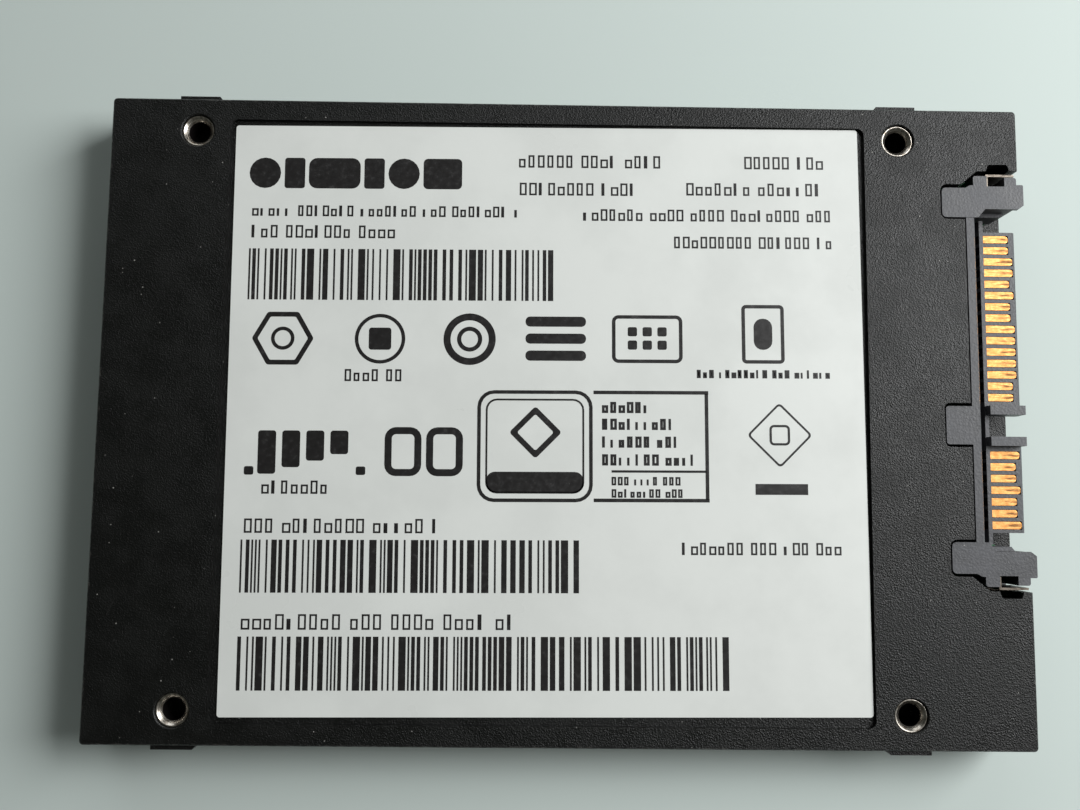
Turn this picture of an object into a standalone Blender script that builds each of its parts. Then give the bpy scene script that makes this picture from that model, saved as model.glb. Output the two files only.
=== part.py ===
"""Solid state drive of the 2.5 inch form factor, 7 mm high, with a SATA plug.

The model is in metres with +Z up.  The drive lies on its cover at z = 0 with the label facing up.
The plug points along +X, and the origin is the middle of the drive's footprint.
"""

import math

import bmesh
import bpy
from mathutils import Matrix, Vector

MM = 0.001
WELD = 0.001 * MM

# Form factor.
LENGTH = 99.9 * MM
WIDTH = 69.85 * MM
HEIGHT = 7.0 * MM

# Screw holes, measured from the plug's tip, the closed end, the side pads and the label face.
HOLE_TO_TIP = 14.0 * MM
HOLE_TO_REAR = 9.3 * MM
HOLE_TO_SIDE = 4.065 * MM
SIDE_HOLE_DROP = 3.0 * MM

# Base shell: the tray that carries the label and all the screw inserts.
CASE_SETBACK = 0.85 * MM
CORNER_RADIUS = 0.4 * MM
RIM_CHAMFER = 0.12 * MM
RIM_ANGLE = math.radians(60)
SIDE_WALL = 1.2 * MM
FACE_THICKNESS = 1.5 * MM
BOSS_WALL = 0.9 * MM
BOSS_LIFT = 0.15 * MM
PAD_PROUD = 0.55 * MM
PAD_WEB = 0.7 * MM
PAD_END = 0.57 * MM
PAD_TAIL = 0.92 * MM
PAD_CHAMFER = 0.5 * MM
PAD_LIFT = 0.3 * MM
EMBED = 0.3 * MM

# Cover: the snapped-on lid that the drive lies on.
COVER_THICKNESS = 1.0 * MM
COVER_CHAMFER = 0.25 * MM
SEAM_GAP = 0.1 * MM
SILL_SETBACK = 0.25 * MM
LIP_HEIGHT = 0.6 * MM
LIP_THICKNESS = 0.8 * MM
LIP_GAP = 0.15 * MM
LIP_FRONT_SPACE = 4.0 * MM
HOOK_WIDTH = 6.0 * MM
HOOK_HEIGHT = 2.6 * MM
HOOK_BARB = 0.45 * MM
HOOK_BARB_START = 1.2 * MM
HOOK_CLEARANCE = 0.15 * MM
SIDE_HOOKS = 3
REAR_HOOKS = 2
RIB_HEIGHT = 0.35 * MM
RIB_WIDTH = 1.2 * MM
RIB_COUNT = 3

# Label and the recess that it lies in.
RECESS_DEPTH = 0.4 * MM
RECESS_RADIUS = 0.8 * MM
RECESS_TO_FRONT_HOLE = 3.7 * MM
RECESS_TO_REAR_HOLE = 3.7 * MM
RECESS_TO_SIDE = 2.775 * MM
LABEL_THICKNESS = 0.12 * MM
LABEL_RADIUS = 0.3 * MM
LABEL_REAR_MARGIN = 0.65 * MM
LABEL_FRONT_MARGIN = 0.45 * MM
LABEL_LOW_MARGIN = 0.85 * MM
LABEL_HIGH_MARGIN = 0.35 * MM
LABEL_GAP = 0.03 * MM
LABEL_TURN = math.radians(0.43)

# Threaded inserts for M3 screws.
INSERT_BORE = 2.45 * MM
BOTTOM_INSERT_OD = 3.42 * MM
BOTTOM_INSERT_LENGTH = 2.6 * MM
BOTTOM_INSERT_SINK = 0.25 * MM
SIDE_INSERT_OD = 3.2 * MM
SIDE_INSERT_SINK = 0.15 * MM
INSERT_FIT = 0.05 * MM
INSERT_WEB = 0.25 * MM
INSERT_LEAD = 0.35 * MM
INSERT_GROOVE = 0.12 * MM
GROOVE_SPAN = (0.4, 0.72)
INSERT_STEPS = 24
HOLE_END_SPACE = 0.4 * MM
HOLE_FLARE = 0.12 * MM

# Circuit board and the pegs that locate its rear corners.
BOARD_THICKNESS = 0.8 * MM
BOARD_LENGTH = 43.4 * MM
BOARD_GAP = 0.3 * MM
BOARD_REST_GAP = 0.1 * MM
BOARD_RADIUS = 0.5 * MM
BOARD_NOTCH = 5.05 * MM
BOARD_NOTCH_GAP = 0.3 * MM
PEG_RADIUS = 0.9 * MM
PEG_SHOULDER_RADIUS = 1.8 * MM
PEG_INSET = 3.0 * MM
PEG_FIT = 0.15 * MM
PEG_REACH = 0.6 * MM
PART_GAP = 0.1 * MM

# SATA plug: contact rows, tongue and keys.
PLUG_OFFSET = 4.8 * MM
PITCH = 1.27 * MM
POWER_CONTACTS = 15
SIGNAL_CONTACTS = 7
SKIPPED_POSITIONS = 4
TONGUE_END_MARGIN = 0.82 * MM
TONGUE_KEY_MARGIN = 1.97 * MM
TONGUE_THICKNESS = 1.23 * MM
TONGUE_DROP = 3.5 * MM
TONGUE_CHAMFER = 0.25 * MM
KEY_WIDTH = 1.0 * MM
KEY_RISE = 1.25 * MM
KEY_SETBACK = 0.1 * MM

# SATA plug: housing.  Distances behind the tongue's tip, and outward from the ears' inner sides.
PLUG_DROP = 0.3 * MM
PLUG_SEAT_GAP = 0.05 * MM
PLUG_PEG_RADIUS = 0.5 * MM
BAR_BACK = 6.52 * MM
BAR_FRONT = 5.5 * MM
BAR_STEP = 0.05 * MM
BAR_SLOPE = 0.2 * MM
BAR_SLOPE_DROP = 0.3 * MM
SLOT_BACK = 4.85 * MM
SLOT_FRONT = 4.08 * MM
SLOT_DEPTH = 1.0 * MM
RIDGE_FRONT = 3.65 * MM
RIDGE_RISE = 0.18 * MM
EAR_GAP = 0.955 * MM
EAR_BACK = 9.15 * MM
EAR_FRONT = 0.15 * MM
EAR_WIDTH = 3.3 * MM
EAR_RADIUS = 0.45 * MM
EAR_FRONT_RADIUS = 0.15 * MM
RELIEF_DEPTH = 0.95 * MM
RELIEF_SLOPE = (5.2 * MM, 4.4 * MM)
LEAD_IN_BACK = 0.75 * MM
LEAD_IN_DEPTH = 1.4 * MM
EAR_TIP_THICKNESS = 0.4 * MM
UNDERCUT_BACK = 1.2 * MM
UNDERCUT_WIDTH = 1.2 * MM
FRONT_SHOULDER = 3.7 * MM
REAR_SHOULDER = 3.6 * MM
REAR_SHOULDER_SLOPE = (6.55 * MM, 6.0 * MM)
POCKET_FLOOR = 3.5 * MM
POST_REACH = 4.65 * MM
POST_RADIUS = 0.25 * MM
FRONT_POST_REACH = 4.5 * MM
REAR_POST = (5.65 * MM, 4.15 * MM)
FRONT_POST = (2.2 * MM, 0.9 * MM)
TAB_OFFSET = -5.2 * MM
TAB_WIDTH = 4.12 * MM
TAB_BACK = 9.35 * MM
TAB_RADIUS = 0.3 * MM
GUIDE_SPAN = (5.0 * MM, 1.4 * MM)
GUIDE_SLOPE = 0.6 * MM
GUIDE_REACH = 0.45 * MM
GUIDE_DROP = 1.7 * MM

# Opening of the case around the plug: its gaps to the plug, and its bends as distances behind the tip.
CUTOUT_GAP = 0.3 * MM
CUTOUT_BAR_GAP = 0.3 * MM
CUTOUT_FRONT_GAP = 0.54 * MM
CUTOUT_LOCK_GAP = 1.2 * MM
CUTOUT_POST_GAP = 0.45 * MM
CUTOUT_LOCK_SPAN = (4.1 * MM, 2.0 * MM)
CUTOUT_LOCK_SLOPE = (0.25 * MM, 0.2 * MM)
CUTOUT_TAPER = (7.15 * MM, 5.35 * MM)
CUTOUT_RADIUS = 0.75 * MM
CUTOUT_TAB_RADIUS = 0.6 * MM
CUTOUT_LOCK_RADIUS = 0.3 * MM
CUTOUT_PAST_TIP = 1.2 * MM

# Contacts and board locks, cut from sheet metal.
CONTACT_THICKNESS = 0.25 * MM
CONTACT_WIDTH = 0.8 * MM
CONTACT_POINT = 0.16 * MM
CONTACT_PROUD = 0.03 * MM
CONTACT_FIT = 0.05 * MM
LONG_TIP = 0.37 * MM
SHORT_TIP = 0.81 * MM
CONTACT_RISER = 3.93 * MM
CONTACT_BACK = 7.4 * MM
CONTACT_END = 8.85 * MM
CONTACT_LOW = 0.6 * MM
LONG_POWER_CONTACTS = (3, 4, 5, 6, 7, 10, 12, 13)
LONG_SIGNAL_CONTACTS = (1, 4, 7)
LOCK_THICKNESS = 0.25 * MM
LOCK_GAP = 0.1 * MM
LOCK_FOOT = 0.85 * MM
LOCK_DROP = 0.5 * MM
LOCK_SINK = 0.025 * MM

# Packages on the board: length, width and height.
CONTROLLER_SIZE = (12.0 * MM, 12.0 * MM, 1.2 * MM)
MEMORY_SIZE = (14.0 * MM, 18.0 * MM, 1.2 * MM)
CRYSTAL_SIZE = (3.2 * MM, 2.5 * MM, 0.8 * MM)
REGULATOR_SIZE = (5.0 * MM, 5.0 * MM, 0.9 * MM)
INDUCTOR_SIZE = (4.0 * MM, 4.0 * MM, 1.6 * MM)
CAPACITOR_SIZE = (1.8 * MM, 3.3 * MM, 1.7 * MM)
FILTER_SIZE = (1.0 * MM, 0.5 * MM, 0.5 * MM)
PACKAGE_CHAMFER = 0.08 * MM
MEMORY_SPACE = 1.2 * MM
MEMORY_REAR_SPACE = 2.5 * MM
CONTROLLER_TO_MEMORY = 4.3 * MM
CONTROLLER_TO_POWER = 3.0 * MM
CONTROLLER_TO_CRYSTAL = 1.8 * MM
CRYSTAL_TO_CAPACITORS = 3.2 * MM
INDUCTOR_PITCH = 6.0 * MM
CAPACITORS = 4
CAPACITOR_PITCH = 2.6 * MM
FILTER_GAP = 0.25 * MM
FILTER_EAR_GAP = 0.08 * MM
PAD_INSET = 1.0 * MM
PAD_GAP = 0.05 * MM

# Places worked out from the sizes above.
TIP_X = LENGTH / 2
REAR_X = -LENGTH / 2
CASE_FRONT_X = TIP_X - CASE_SETBACK
CASE_HALF = WIDTH / 2 - PAD_PROUD
FRONT_HOLE_X = TIP_X - HOLE_TO_TIP
REAR_HOLE_X = REAR_X + HOLE_TO_REAR
HOLE_Y = WIDTH / 2 - HOLE_TO_SIDE
SIDE_HOLE_Z = HEIGHT - SIDE_HOLE_DROP
CAVITY_TOP = HEIGHT - FACE_THICKNESS
CAVITY_FRONT_X = CASE_FRONT_X - SIDE_WALL
CAVITY_REAR_X = REAR_X + SIDE_WALL
CAVITY_HALF = CASE_HALF - SIDE_WALL
BASE_BOTTOM = COVER_THICKNESS + SEAM_GAP
BOSS_HALF = BOTTOM_INSERT_OD / 2 + BOSS_WALL
BOSS_INNER_Y = HOLE_Y - BOSS_HALF
BOARD_BOTTOM = COVER_THICKNESS + RIB_HEIGHT + BOARD_REST_GAP
BOARD_TOP = BOARD_BOTTOM + BOARD_THICKNESS
BOARD_FRONT_X = CAVITY_FRONT_X - BOARD_GAP
BOARD_REAR_X = BOARD_FRONT_X - BOARD_LENGTH
BOARD_HALF = BOSS_INNER_Y - BOARD_GAP
LAST_POSITION = (POWER_CONTACTS + SIGNAL_CONTACTS + SKIPPED_POSITIONS - 1) / 2
TONGUE_HALF = LAST_POSITION * PITCH + TONGUE_END_MARGIN
TONGUE_TOP = HEIGHT - TONGUE_DROP + TONGUE_THICKNESS / 2
TONGUE_BOTTOM = TONGUE_TOP - TONGUE_THICKNESS
EAR_INNER = TONGUE_HALF + EAR_GAP
PLUG_TOP = HEIGHT - PLUG_DROP
PLUG_BOTTOM = BOARD_TOP + PLUG_SEAT_GAP


def new_collection(name):
    """Make a collection in the scene."""
    collection = bpy.data.collections.new(name)
    bpy.context.scene.collection.children.link(collection)
    return collection


def new_material(name, colour, roughness, metallic=0.0):
    """Make a Principled material."""
    material = bpy.data.materials.new(name)
    material.use_nodes = True
    shader = material.node_tree.nodes["Principled BSDF"]
    shader.inputs["Base Color"].default_value = (*colour, 1.0)
    shader.inputs["Roughness"].default_value = roughness
    shader.inputs["Metallic"].default_value = metallic
    return material


def finish_mesh(name, shape):
    """Turn a bmesh into an object at the origin, with its faces pointing out."""
    bmesh.ops.recalc_face_normals(shape, faces=shape.faces)
    mesh = bpy.data.meshes.new(name)
    shape.to_mesh(mesh)
    shape.free()
    return bpy.data.objects.new(name, mesh)


def block(name, low, high):
    """Box between two corners."""
    size = Vector(high) - Vector(low)
    shape = bmesh.new()
    bmesh.ops.create_cube(shape, size=1.0)
    bmesh.ops.scale(shape, vec=size, verts=shape.verts)
    solid = finish_mesh(name, shape)
    solid.location = (Vector(high) + Vector(low)) / 2
    return solid


def cylinder(name, base, length, radius, end_radius=None, axis="Z", segments=32):
    """Round rod, or a cone with an end radius, from its base point along an axis."""
    turns = {"X": Matrix.Rotation(math.pi / 2, 4, "Y"), "Y": Matrix.Rotation(-math.pi / 2, 4, "X")}
    shape = bmesh.new()
    bmesh.ops.create_cone(
        shape,
        cap_ends=True,
        segments=segments,
        radius1=radius,
        radius2=radius if end_radius is None else end_radius,
        depth=abs(length),
    )
    bmesh.ops.translate(shape, vec=(0, 0, abs(length) / 2), verts=shape.verts)
    solid = finish_mesh(name, shape)
    flip = Matrix.Rotation(math.pi, 4, "X") if length < 0 else Matrix.Identity(4)
    solid.matrix_world = Matrix.Translation(base) @ turns.get(axis, Matrix.Identity(4)) @ flip
    return solid


def rounded(corners, steps=4):
    """Closed outline through (x, y, radius) corners, with an arc at each corner that has a radius."""
    outline = []
    for index, (x, y, radius) in enumerate(corners):
        corner = Vector((x, y))
        if radius == 0:
            outline.append(corner)
            continue
        before = (Vector(corners[index - 1][:2]) - corner).normalized()
        after = (Vector(corners[(index + 1) % len(corners)][:2]) - corner).normalized()
        half_angle = before.angle(after) / 2
        reach = radius / math.tan(half_angle)
        centre = corner + (before + after).normalized() * radius / math.sin(half_angle)
        start = corner + before * reach - centre
        end = corner + after * reach - centre
        start_angle = math.atan2(start.y, start.x)
        sweep = math.atan2(end.y, end.x) - start_angle
        sweep = (sweep + math.pi) % (2 * math.pi) - math.pi
        for step in range(steps + 1):
            angle = start_angle + sweep * step / steps
            outline.append(centre + radius * Vector((math.cos(angle), math.sin(angle))))
    return outline


def rectangle(low_x, low_y, high_x, high_y, radius=0.0):
    """Outline of a rectangle with rounded corners."""
    corners = [(low_x, low_y), (high_x, low_y), (high_x, high_y), (low_x, high_y)]
    return rounded([(x, y, radius) for x, y in corners])


def ribbon(path, thickness):
    """Closed outline of a strip of sheet metal seen edge on, along a path of its middle line."""
    points = [Vector(point) for point in path]
    left = []
    right = []
    for index, point in enumerate(points):
        before = (point - points[index - 1]).normalized() if index > 0 else None
        after = (points[index + 1] - point).normalized() if index < len(points) - 1 else None
        along = ((before or after) + (after or before)).normalized()
        across = Vector((-along.y, along.x))
        edge = before or after
        mitre = thickness / 2 / across.dot(Vector((-edge.y, edge.x)))
        left.append(point + across * mitre)
        right.append(point - across * mitre)
    return left + right[::-1]


def prism(name, outline, low, high, axis="Z"):
    """Solid of a flat outline pushed from low to high along an axis.

    The outline lies in XY for axis Z, in XZ for axis Y and in YZ for axis X.
    """
    curve = bpy.data.curves.new(name, "CURVE")
    curve.dimensions = "2D"
    curve.fill_mode = "BOTH"
    curve.extrude = (high - low) / 2
    spline = curve.splines.new("POLY")
    spline.points.add(len(outline) - 1)
    for point, (u, v) in zip(spline.points, outline):
        point.co = (u, v, 0, 1)
    spline.use_cyclic_u = True
    drawn = bpy.data.objects.new(name, curve)
    bpy.context.scene.collection.objects.link(drawn)
    depsgraph = bpy.context.evaluated_depsgraph_get()
    mesh = bpy.data.meshes.new_from_object(drawn.evaluated_get(depsgraph))
    shape = bmesh.new()
    shape.from_mesh(mesh)
    bmesh.ops.remove_doubles(shape, verts=shape.verts, dist=WELD)
    bpy.data.objects.remove(drawn)
    bpy.data.meshes.remove(mesh)
    turns = {
        "X": Matrix(((0, 0, 1, 0), (1, 0, 0, 0), (0, 1, 0, 0), (0, 0, 0, 1))),
        "Y": Matrix.Rotation(math.pi / 2, 4, "X"),
        "Z": Matrix.Identity(4),
    }
    middle = Vector([(high + low) / 2 if letter == axis else 0 for letter in "XYZ"])
    solid = finish_mesh(name, shape)
    solid.matrix_world = Matrix.Translation(middle) @ turns[axis]
    return solid


def chamfer_rim(solid, height, size):
    """Chamfer the outer edge of a prism's cap at a height in the solid's own mesh."""
    shape = bmesh.new()
    shape.from_mesh(solid.data)
    rim = []
    for edge in shape.edges:
        level = all(abs(vertex.co.z - height) < WELD for vertex in edge.verts)
        if level and edge.calc_face_angle(0) > RIM_ANGLE:
            rim.append(edge)
    bmesh.ops.bevel(shape, geom=rim, offset=size, segments=1, affect="EDGES")
    shape.to_mesh(solid.data)
    shape.free()


class Assembly:
    """The drive's parts and the hidden tools that shape them."""

    def __init__(self, name):
        self.parts = new_collection(name)
        self.tools = new_collection(name + "_cutters")

    def add(self, solid, material, smooth_angle=30):
        """Put a finished piece in the assembly."""
        self.parts.objects.link(solid)
        solid.data.materials.clear()
        solid.data.materials.append(material)
        solid.data.shade_smooth()
        solid.data.set_sharp_from_angle(angle=math.radians(smooth_angle))
        return solid

    def shape(self, target, operation, tool):
        """Cut a tool from a piece, or join it on."""
        self.tools.objects.link(tool)
        tool.hide_render = True
        tool.display_type = "WIRE"
        modifier = target.modifiers.new(tool.name, "BOOLEAN")
        modifier.operation = operation
        modifier.object = tool

    def cut(self, target, tool):
        """Cut a tool from a piece."""
        self.shape(target, "DIFFERENCE", tool)

    def join(self, target, tool):
        """Join a tool onto a piece."""
        self.shape(target, "UNION", tool)


def plug_point(behind_tip, outward, side=1):
    """Plan position of a point on the plug: behind the tip, and outward from an ear's inner side."""
    return (TIP_X - behind_tip, PLUG_OFFSET + side * (EAR_INNER + outward))


def plug_corners(points, side):
    """Corners on one side of the plug, from (behind tip, outward, radius) values."""
    return [(*plug_point(behind, outward, side), radius) for behind, outward, radius in points]


def hole_places():
    """The four screw positions, as x, y and the direction of the nearer side."""
    return [(x, side * HOLE_Y, side) for x in (FRONT_HOLE_X, REAR_HOLE_X) for side in (1, -1)]


def hook_places():
    """Middle of each snap hook on the walls' inner faces, with its turn about Z."""
    places = []
    for index in range(SIDE_HOOKS):
        x = REAR_HOLE_X + (FRONT_HOLE_X - REAR_HOLE_X) * (index + 1) / (SIDE_HOOKS + 1)
        places.append(((x, CAVITY_HALF, 0), 0))
        places.append(((x, -CAVITY_HALF, 0), math.pi))
    for index in range(REAR_HOOKS):
        y = HOLE_Y * (2 * (index + 1) / (REAR_HOOKS + 1) - 1)
        places.append(((CAVITY_REAR_X, y, 0), math.pi / 2))
    return places


def peg_places():
    """Plan positions of the pegs at the board's rear corners."""
    return [(BOARD_REAR_X + PEG_INSET, side * (BOARD_HALF - PEG_INSET)) for side in (1, -1)]


def plug_peg_places():
    """Plan positions of the pegs under the plug's ears."""
    behind = (EAR_BACK + BAR_BACK) / 2
    return [plug_point(behind, EAR_WIDTH / 2, side) for side in (1, -1)]


def side_pad(name, x, side):
    """Raised pad around a side hole, square towards the near end and chamfered towards the middle."""
    end = 1 if x > 0 else -1
    radius = SIDE_INSERT_OD / 2 + INSERT_FIT
    outer_x = x + end * (radius + PAD_END)
    inner_x = x - end * (radius + PAD_TAIL)
    root = side * (CASE_HALF - EMBED)
    base = side * CASE_HALF
    face = side * WIDTH / 2
    outline = [
        (outer_x, root),
        (outer_x, face),
        (inner_x + end * PAD_CHAMFER, face),
        (inner_x, base),
        (inner_x, root),
    ]
    top = SIDE_HOLE_Z + radius + PAD_WEB
    return prism(name, outline, BASE_BOTTOM + PAD_LIFT, top)


def cutout_outline():
    """Opening of the case around the plug, open past the front wall."""
    back = EAR_BACK + CUTOUT_GAP
    lock_back, lock_front = CUTOUT_LOCK_SPAN
    slope_back, slope_front = CUTOUT_LOCK_SLOPE
    taper_back, taper_front = CUTOUT_TAPER
    side_points = [
        (-CUTOUT_PAST_TIP, POST_REACH + CUTOUT_FRONT_GAP, 0),
        (lock_front - slope_front, POST_REACH + CUTOUT_FRONT_GAP, 0),
        (lock_front, POST_REACH + CUTOUT_LOCK_GAP, CUTOUT_LOCK_RADIUS),
        (lock_back, POST_REACH + CUTOUT_LOCK_GAP, CUTOUT_LOCK_RADIUS),
        (lock_back + slope_back, POST_REACH + CUTOUT_POST_GAP, 0),
        (taper_front, POST_REACH + CUTOUT_POST_GAP, 0),
        (taper_back, EAR_WIDTH + CUTOUT_GAP, 0),
        (back, EAR_WIDTH + CUTOUT_GAP, CUTOUT_RADIUS),
        (back, -CUTOUT_GAP, CUTOUT_RADIUS),
        (BAR_BACK + CUTOUT_BAR_GAP, -CUTOUT_GAP, 0),
    ]
    tab_x = TIP_X - TAB_BACK - CUTOUT_GAP
    bar_x = TIP_X - BAR_BACK - CUTOUT_BAR_GAP
    tab_low = PLUG_OFFSET + TAB_OFFSET - TAB_WIDTH / 2 - CUTOUT_GAP
    tab_high = PLUG_OFFSET + TAB_OFFSET + TAB_WIDTH / 2 + CUTOUT_GAP
    tab_points = [
        (bar_x, tab_high, 0),
        (tab_x, tab_high, CUTOUT_TAB_RADIUS),
        (tab_x, tab_low, CUTOUT_TAB_RADIUS),
        (bar_x, tab_low, 0),
    ]
    corners = plug_corners(side_points, 1) + tab_points + plug_corners(side_points[::-1], -1)
    return rounded(corners)


def snap_hook(name):
    """Hook of the cover, drawn at the origin against a wall that faces -Y."""
    inner = -LIP_GAP - LIP_THICKNESS
    outer = -LIP_GAP
    barb_start = COVER_THICKNESS + HOOK_BARB_START
    top = COVER_THICKNESS + HOOK_HEIGHT
    outline = [
        (inner, COVER_THICKNESS - EMBED),
        (outer, COVER_THICKNESS - EMBED),
        (outer, barb_start),
        (outer + HOOK_BARB, barb_start + HOOK_BARB / 2),
        (outer, top),
        (inner, top),
    ]
    return prism(name, outline, -HOOK_WIDTH / 2, HOOK_WIDTH / 2, axis="X")


def build_base_shell(drive, material):
    """Tray with the label recess, screw bosses, side pads and the opening for the plug."""
    outline = rectangle(REAR_X, -CASE_HALF, CASE_FRONT_X, CASE_HALF, CORNER_RADIUS)
    shell = prism("base_shell", outline, BASE_BOTTOM, HEIGHT)
    chamfer_rim(shell, (HEIGHT - BASE_BOTTOM) / 2, RIM_CHAMFER)
    drive.add(shell, material)
    cavity = rectangle(CAVITY_REAR_X, -CAVITY_HALF, CAVITY_FRONT_X, CAVITY_HALF, CORNER_RADIUS)
    drive.cut(shell, prism("cavity", cavity, 0, CAVITY_TOP))
    boss_bottom = COVER_THICKNESS + LIP_HEIGHT + BOSS_LIFT
    for index, (x, y, side) in enumerate(hole_places()):
        near, far = sorted((side * BOSS_INNER_Y, side * (CASE_HALF - EMBED)))
        low = (x - BOSS_HALF, near, boss_bottom)
        high = (x + BOSS_HALF, far, CAVITY_TOP + EMBED)
        drive.join(shell, block(f"screw_boss_{index}", low, high))
        drive.join(shell, side_pad(f"side_pad_{index}", x, side))
    root = CAVITY_TOP + EMBED
    shoulder = BOARD_TOP + PART_GAP - root
    reach = BOARD_TOP - PEG_REACH - root
    for index, (x, y) in enumerate(peg_places()):
        drive.join(shell, cylinder(f"peg_shoulder_{index}", (x, y, root), shoulder, PEG_SHOULDER_RADIUS))
        drive.join(shell, cylinder(f"peg_{index}", (x, y, root), reach, PEG_RADIUS))
    cut_insert_holes(drive, shell)
    drive.cut(shell, prism("label_recess", recess_outline(), HEIGHT - RECESS_DEPTH, HEIGHT + EMBED))
    drive.cut(shell, prism("plug_opening", cutout_outline(), 0, HEIGHT + EMBED))
    for index, (place, angle) in enumerate(hook_places()):
        half = HOOK_WIDTH / 2 + HOOK_CLEARANCE
        low_z = COVER_THICKNESS + HOOK_BARB_START - HOOK_CLEARANCE
        high_z = COVER_THICKNESS + HOOK_HEIGHT + HOOK_CLEARANCE
        depth = HOOK_BARB - LIP_GAP + HOOK_CLEARANCE
        pocket = block(f"hook_pocket_{index}", (-half, -EMBED, low_z), (half, depth, high_z))
        turn = Matrix.Translation(place) @ Matrix.Rotation(angle, 4, "Z")
        pocket.matrix_world = turn @ Matrix.Translation(pocket.location)
        drive.cut(shell, pocket)


def cut_insert_holes(drive, shell):
    """Blind holes for the threaded inserts, with a small flare at the label face."""
    radius = BOTTOM_INSERT_OD / 2 + INSERT_FIT
    depth = BOTTOM_INSERT_SINK + BOTTOM_INSERT_LENGTH + HOLE_END_SPACE
    side_radius = SIDE_INSERT_OD / 2 + INSERT_FIT
    for index, (x, y, side) in enumerate(hole_places()):
        top = (x, y, HEIGHT + EMBED)
        drive.cut(shell, cylinder(f"bottom_hole_{index}", top, -depth - EMBED, radius))
        start = (x, y, HEIGHT - HOLE_FLARE)
        wide = radius + 2 * HOLE_FLARE
        drive.cut(shell, cylinder(f"hole_flare_{index}", start, 2 * HOLE_FLARE, radius, wide))
        outside = (x, side * (WIDTH / 2 + EMBED), SIDE_HOLE_Z)
        reach = side_insert_length() + SIDE_INSERT_SINK + INSERT_FIT + EMBED
        drive.cut(shell, cylinder(f"side_hole_{index}", outside, -side * reach, side_radius, axis="Y"))


def side_insert_length():
    """Length that leaves a web between the side insert and the bottom one."""
    web = BOTTOM_INSERT_OD / 2 + 2 * INSERT_FIT + INSERT_WEB
    return HOLE_TO_SIDE - SIDE_INSERT_SINK - web


def recess_outline():
    """Outline of the recess that the label lies in."""
    half = WIDTH / 2 - RECESS_TO_SIDE
    return rectangle(
        REAR_HOLE_X + RECESS_TO_REAR_HOLE, -half, FRONT_HOLE_X - RECESS_TO_FRONT_HOLE, half, RECESS_RADIUS
    )


def build_label(drive, material):
    """Printed label on the recess floor, stuck on a little askew."""
    half = WIDTH / 2 - RECESS_TO_SIDE
    low = Vector((REAR_HOLE_X + RECESS_TO_REAR_HOLE + LABEL_REAR_MARGIN, -half + LABEL_LOW_MARGIN, 0))
    high = Vector((FRONT_HOLE_X - RECESS_TO_FRONT_HOLE - LABEL_FRONT_MARGIN, half - LABEL_HIGH_MARGIN, 0))
    middle = (low + high) / 2
    reach = (high - low) / 2
    outline = rectangle(-reach.x, -reach.y, reach.x, reach.y, LABEL_RADIUS)
    floor = HEIGHT - RECESS_DEPTH + LABEL_GAP
    label = prism("label", outline, floor, floor + LABEL_THICKNESS)
    label.matrix_world = Matrix.Translation(middle) @ Matrix.Rotation(LABEL_TURN, 4, "Z") @ label.matrix_world
    drive.add(label, material)


def build_cover(drive, material):
    """Lid with a sill under the plug, a locating lip, snap hooks and ribs under the board."""
    sill_low = plug_point(0, POST_REACH, -1)[1]
    sill_high = plug_point(0, POST_REACH, 1)[1]
    sill_x = TIP_X - SILL_SETBACK
    corners = [
        (REAR_X, -CASE_HALF, CORNER_RADIUS),
        (CASE_FRONT_X, -CASE_HALF, CORNER_RADIUS),
        (CASE_FRONT_X, sill_low, 0),
        (sill_x, sill_low, 0),
        (sill_x, sill_high, 0),
        (CASE_FRONT_X, sill_high, 0),
        (CASE_FRONT_X, CASE_HALF, CORNER_RADIUS),
        (REAR_X, CASE_HALF, CORNER_RADIUS),
    ]
    cover = prism("cover", rounded(corners), 0, COVER_THICKNESS)
    chamfer_rim(cover, -COVER_THICKNESS / 2, COVER_CHAMFER)
    drive.add(cover, material)
    lip_half = CAVITY_HALF - LIP_GAP
    lip_rear = CAVITY_REAR_X + LIP_GAP
    lip_front = CAVITY_FRONT_X - LIP_FRONT_SPACE
    lip_top = COVER_THICKNESS + LIP_HEIGHT
    lip_root = COVER_THICKNESS - EMBED
    lip = rounded(
        [
            (lip_rear, -lip_half, CORNER_RADIUS),
            (lip_front, -lip_half, 0),
            (lip_front, -lip_half + LIP_THICKNESS, 0),
            (lip_rear + LIP_THICKNESS, -lip_half + LIP_THICKNESS, 0),
            (lip_rear + LIP_THICKNESS, lip_half - LIP_THICKNESS, 0),
            (lip_front, lip_half - LIP_THICKNESS, 0),
            (lip_front, lip_half, 0),
            (lip_rear, lip_half, CORNER_RADIUS),
        ]
    )
    drive.join(cover, prism("cover_lip", lip, lip_root, lip_top))
    for index, (place, angle) in enumerate(hook_places()):
        hook = snap_hook(f"snap_hook_{index}")
        turn = Matrix.Translation(place) @ Matrix.Rotation(angle, 4, "Z")
        hook.matrix_world = turn @ hook.matrix_world
        drive.join(cover, hook)
    for index in range(RIB_COUNT):
        y = BOARD_HALF * (2 * (index + 1) / (RIB_COUNT + 1) - 1)
        low = (BOARD_REAR_X + BOARD_GAP, y - RIB_WIDTH / 2, lip_root)
        high = (TIP_X - BAR_BACK, y + RIB_WIDTH / 2, COVER_THICKNESS + RIB_HEIGHT)
        drive.join(cover, block(f"cover_rib_{index}", low, high))


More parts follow.
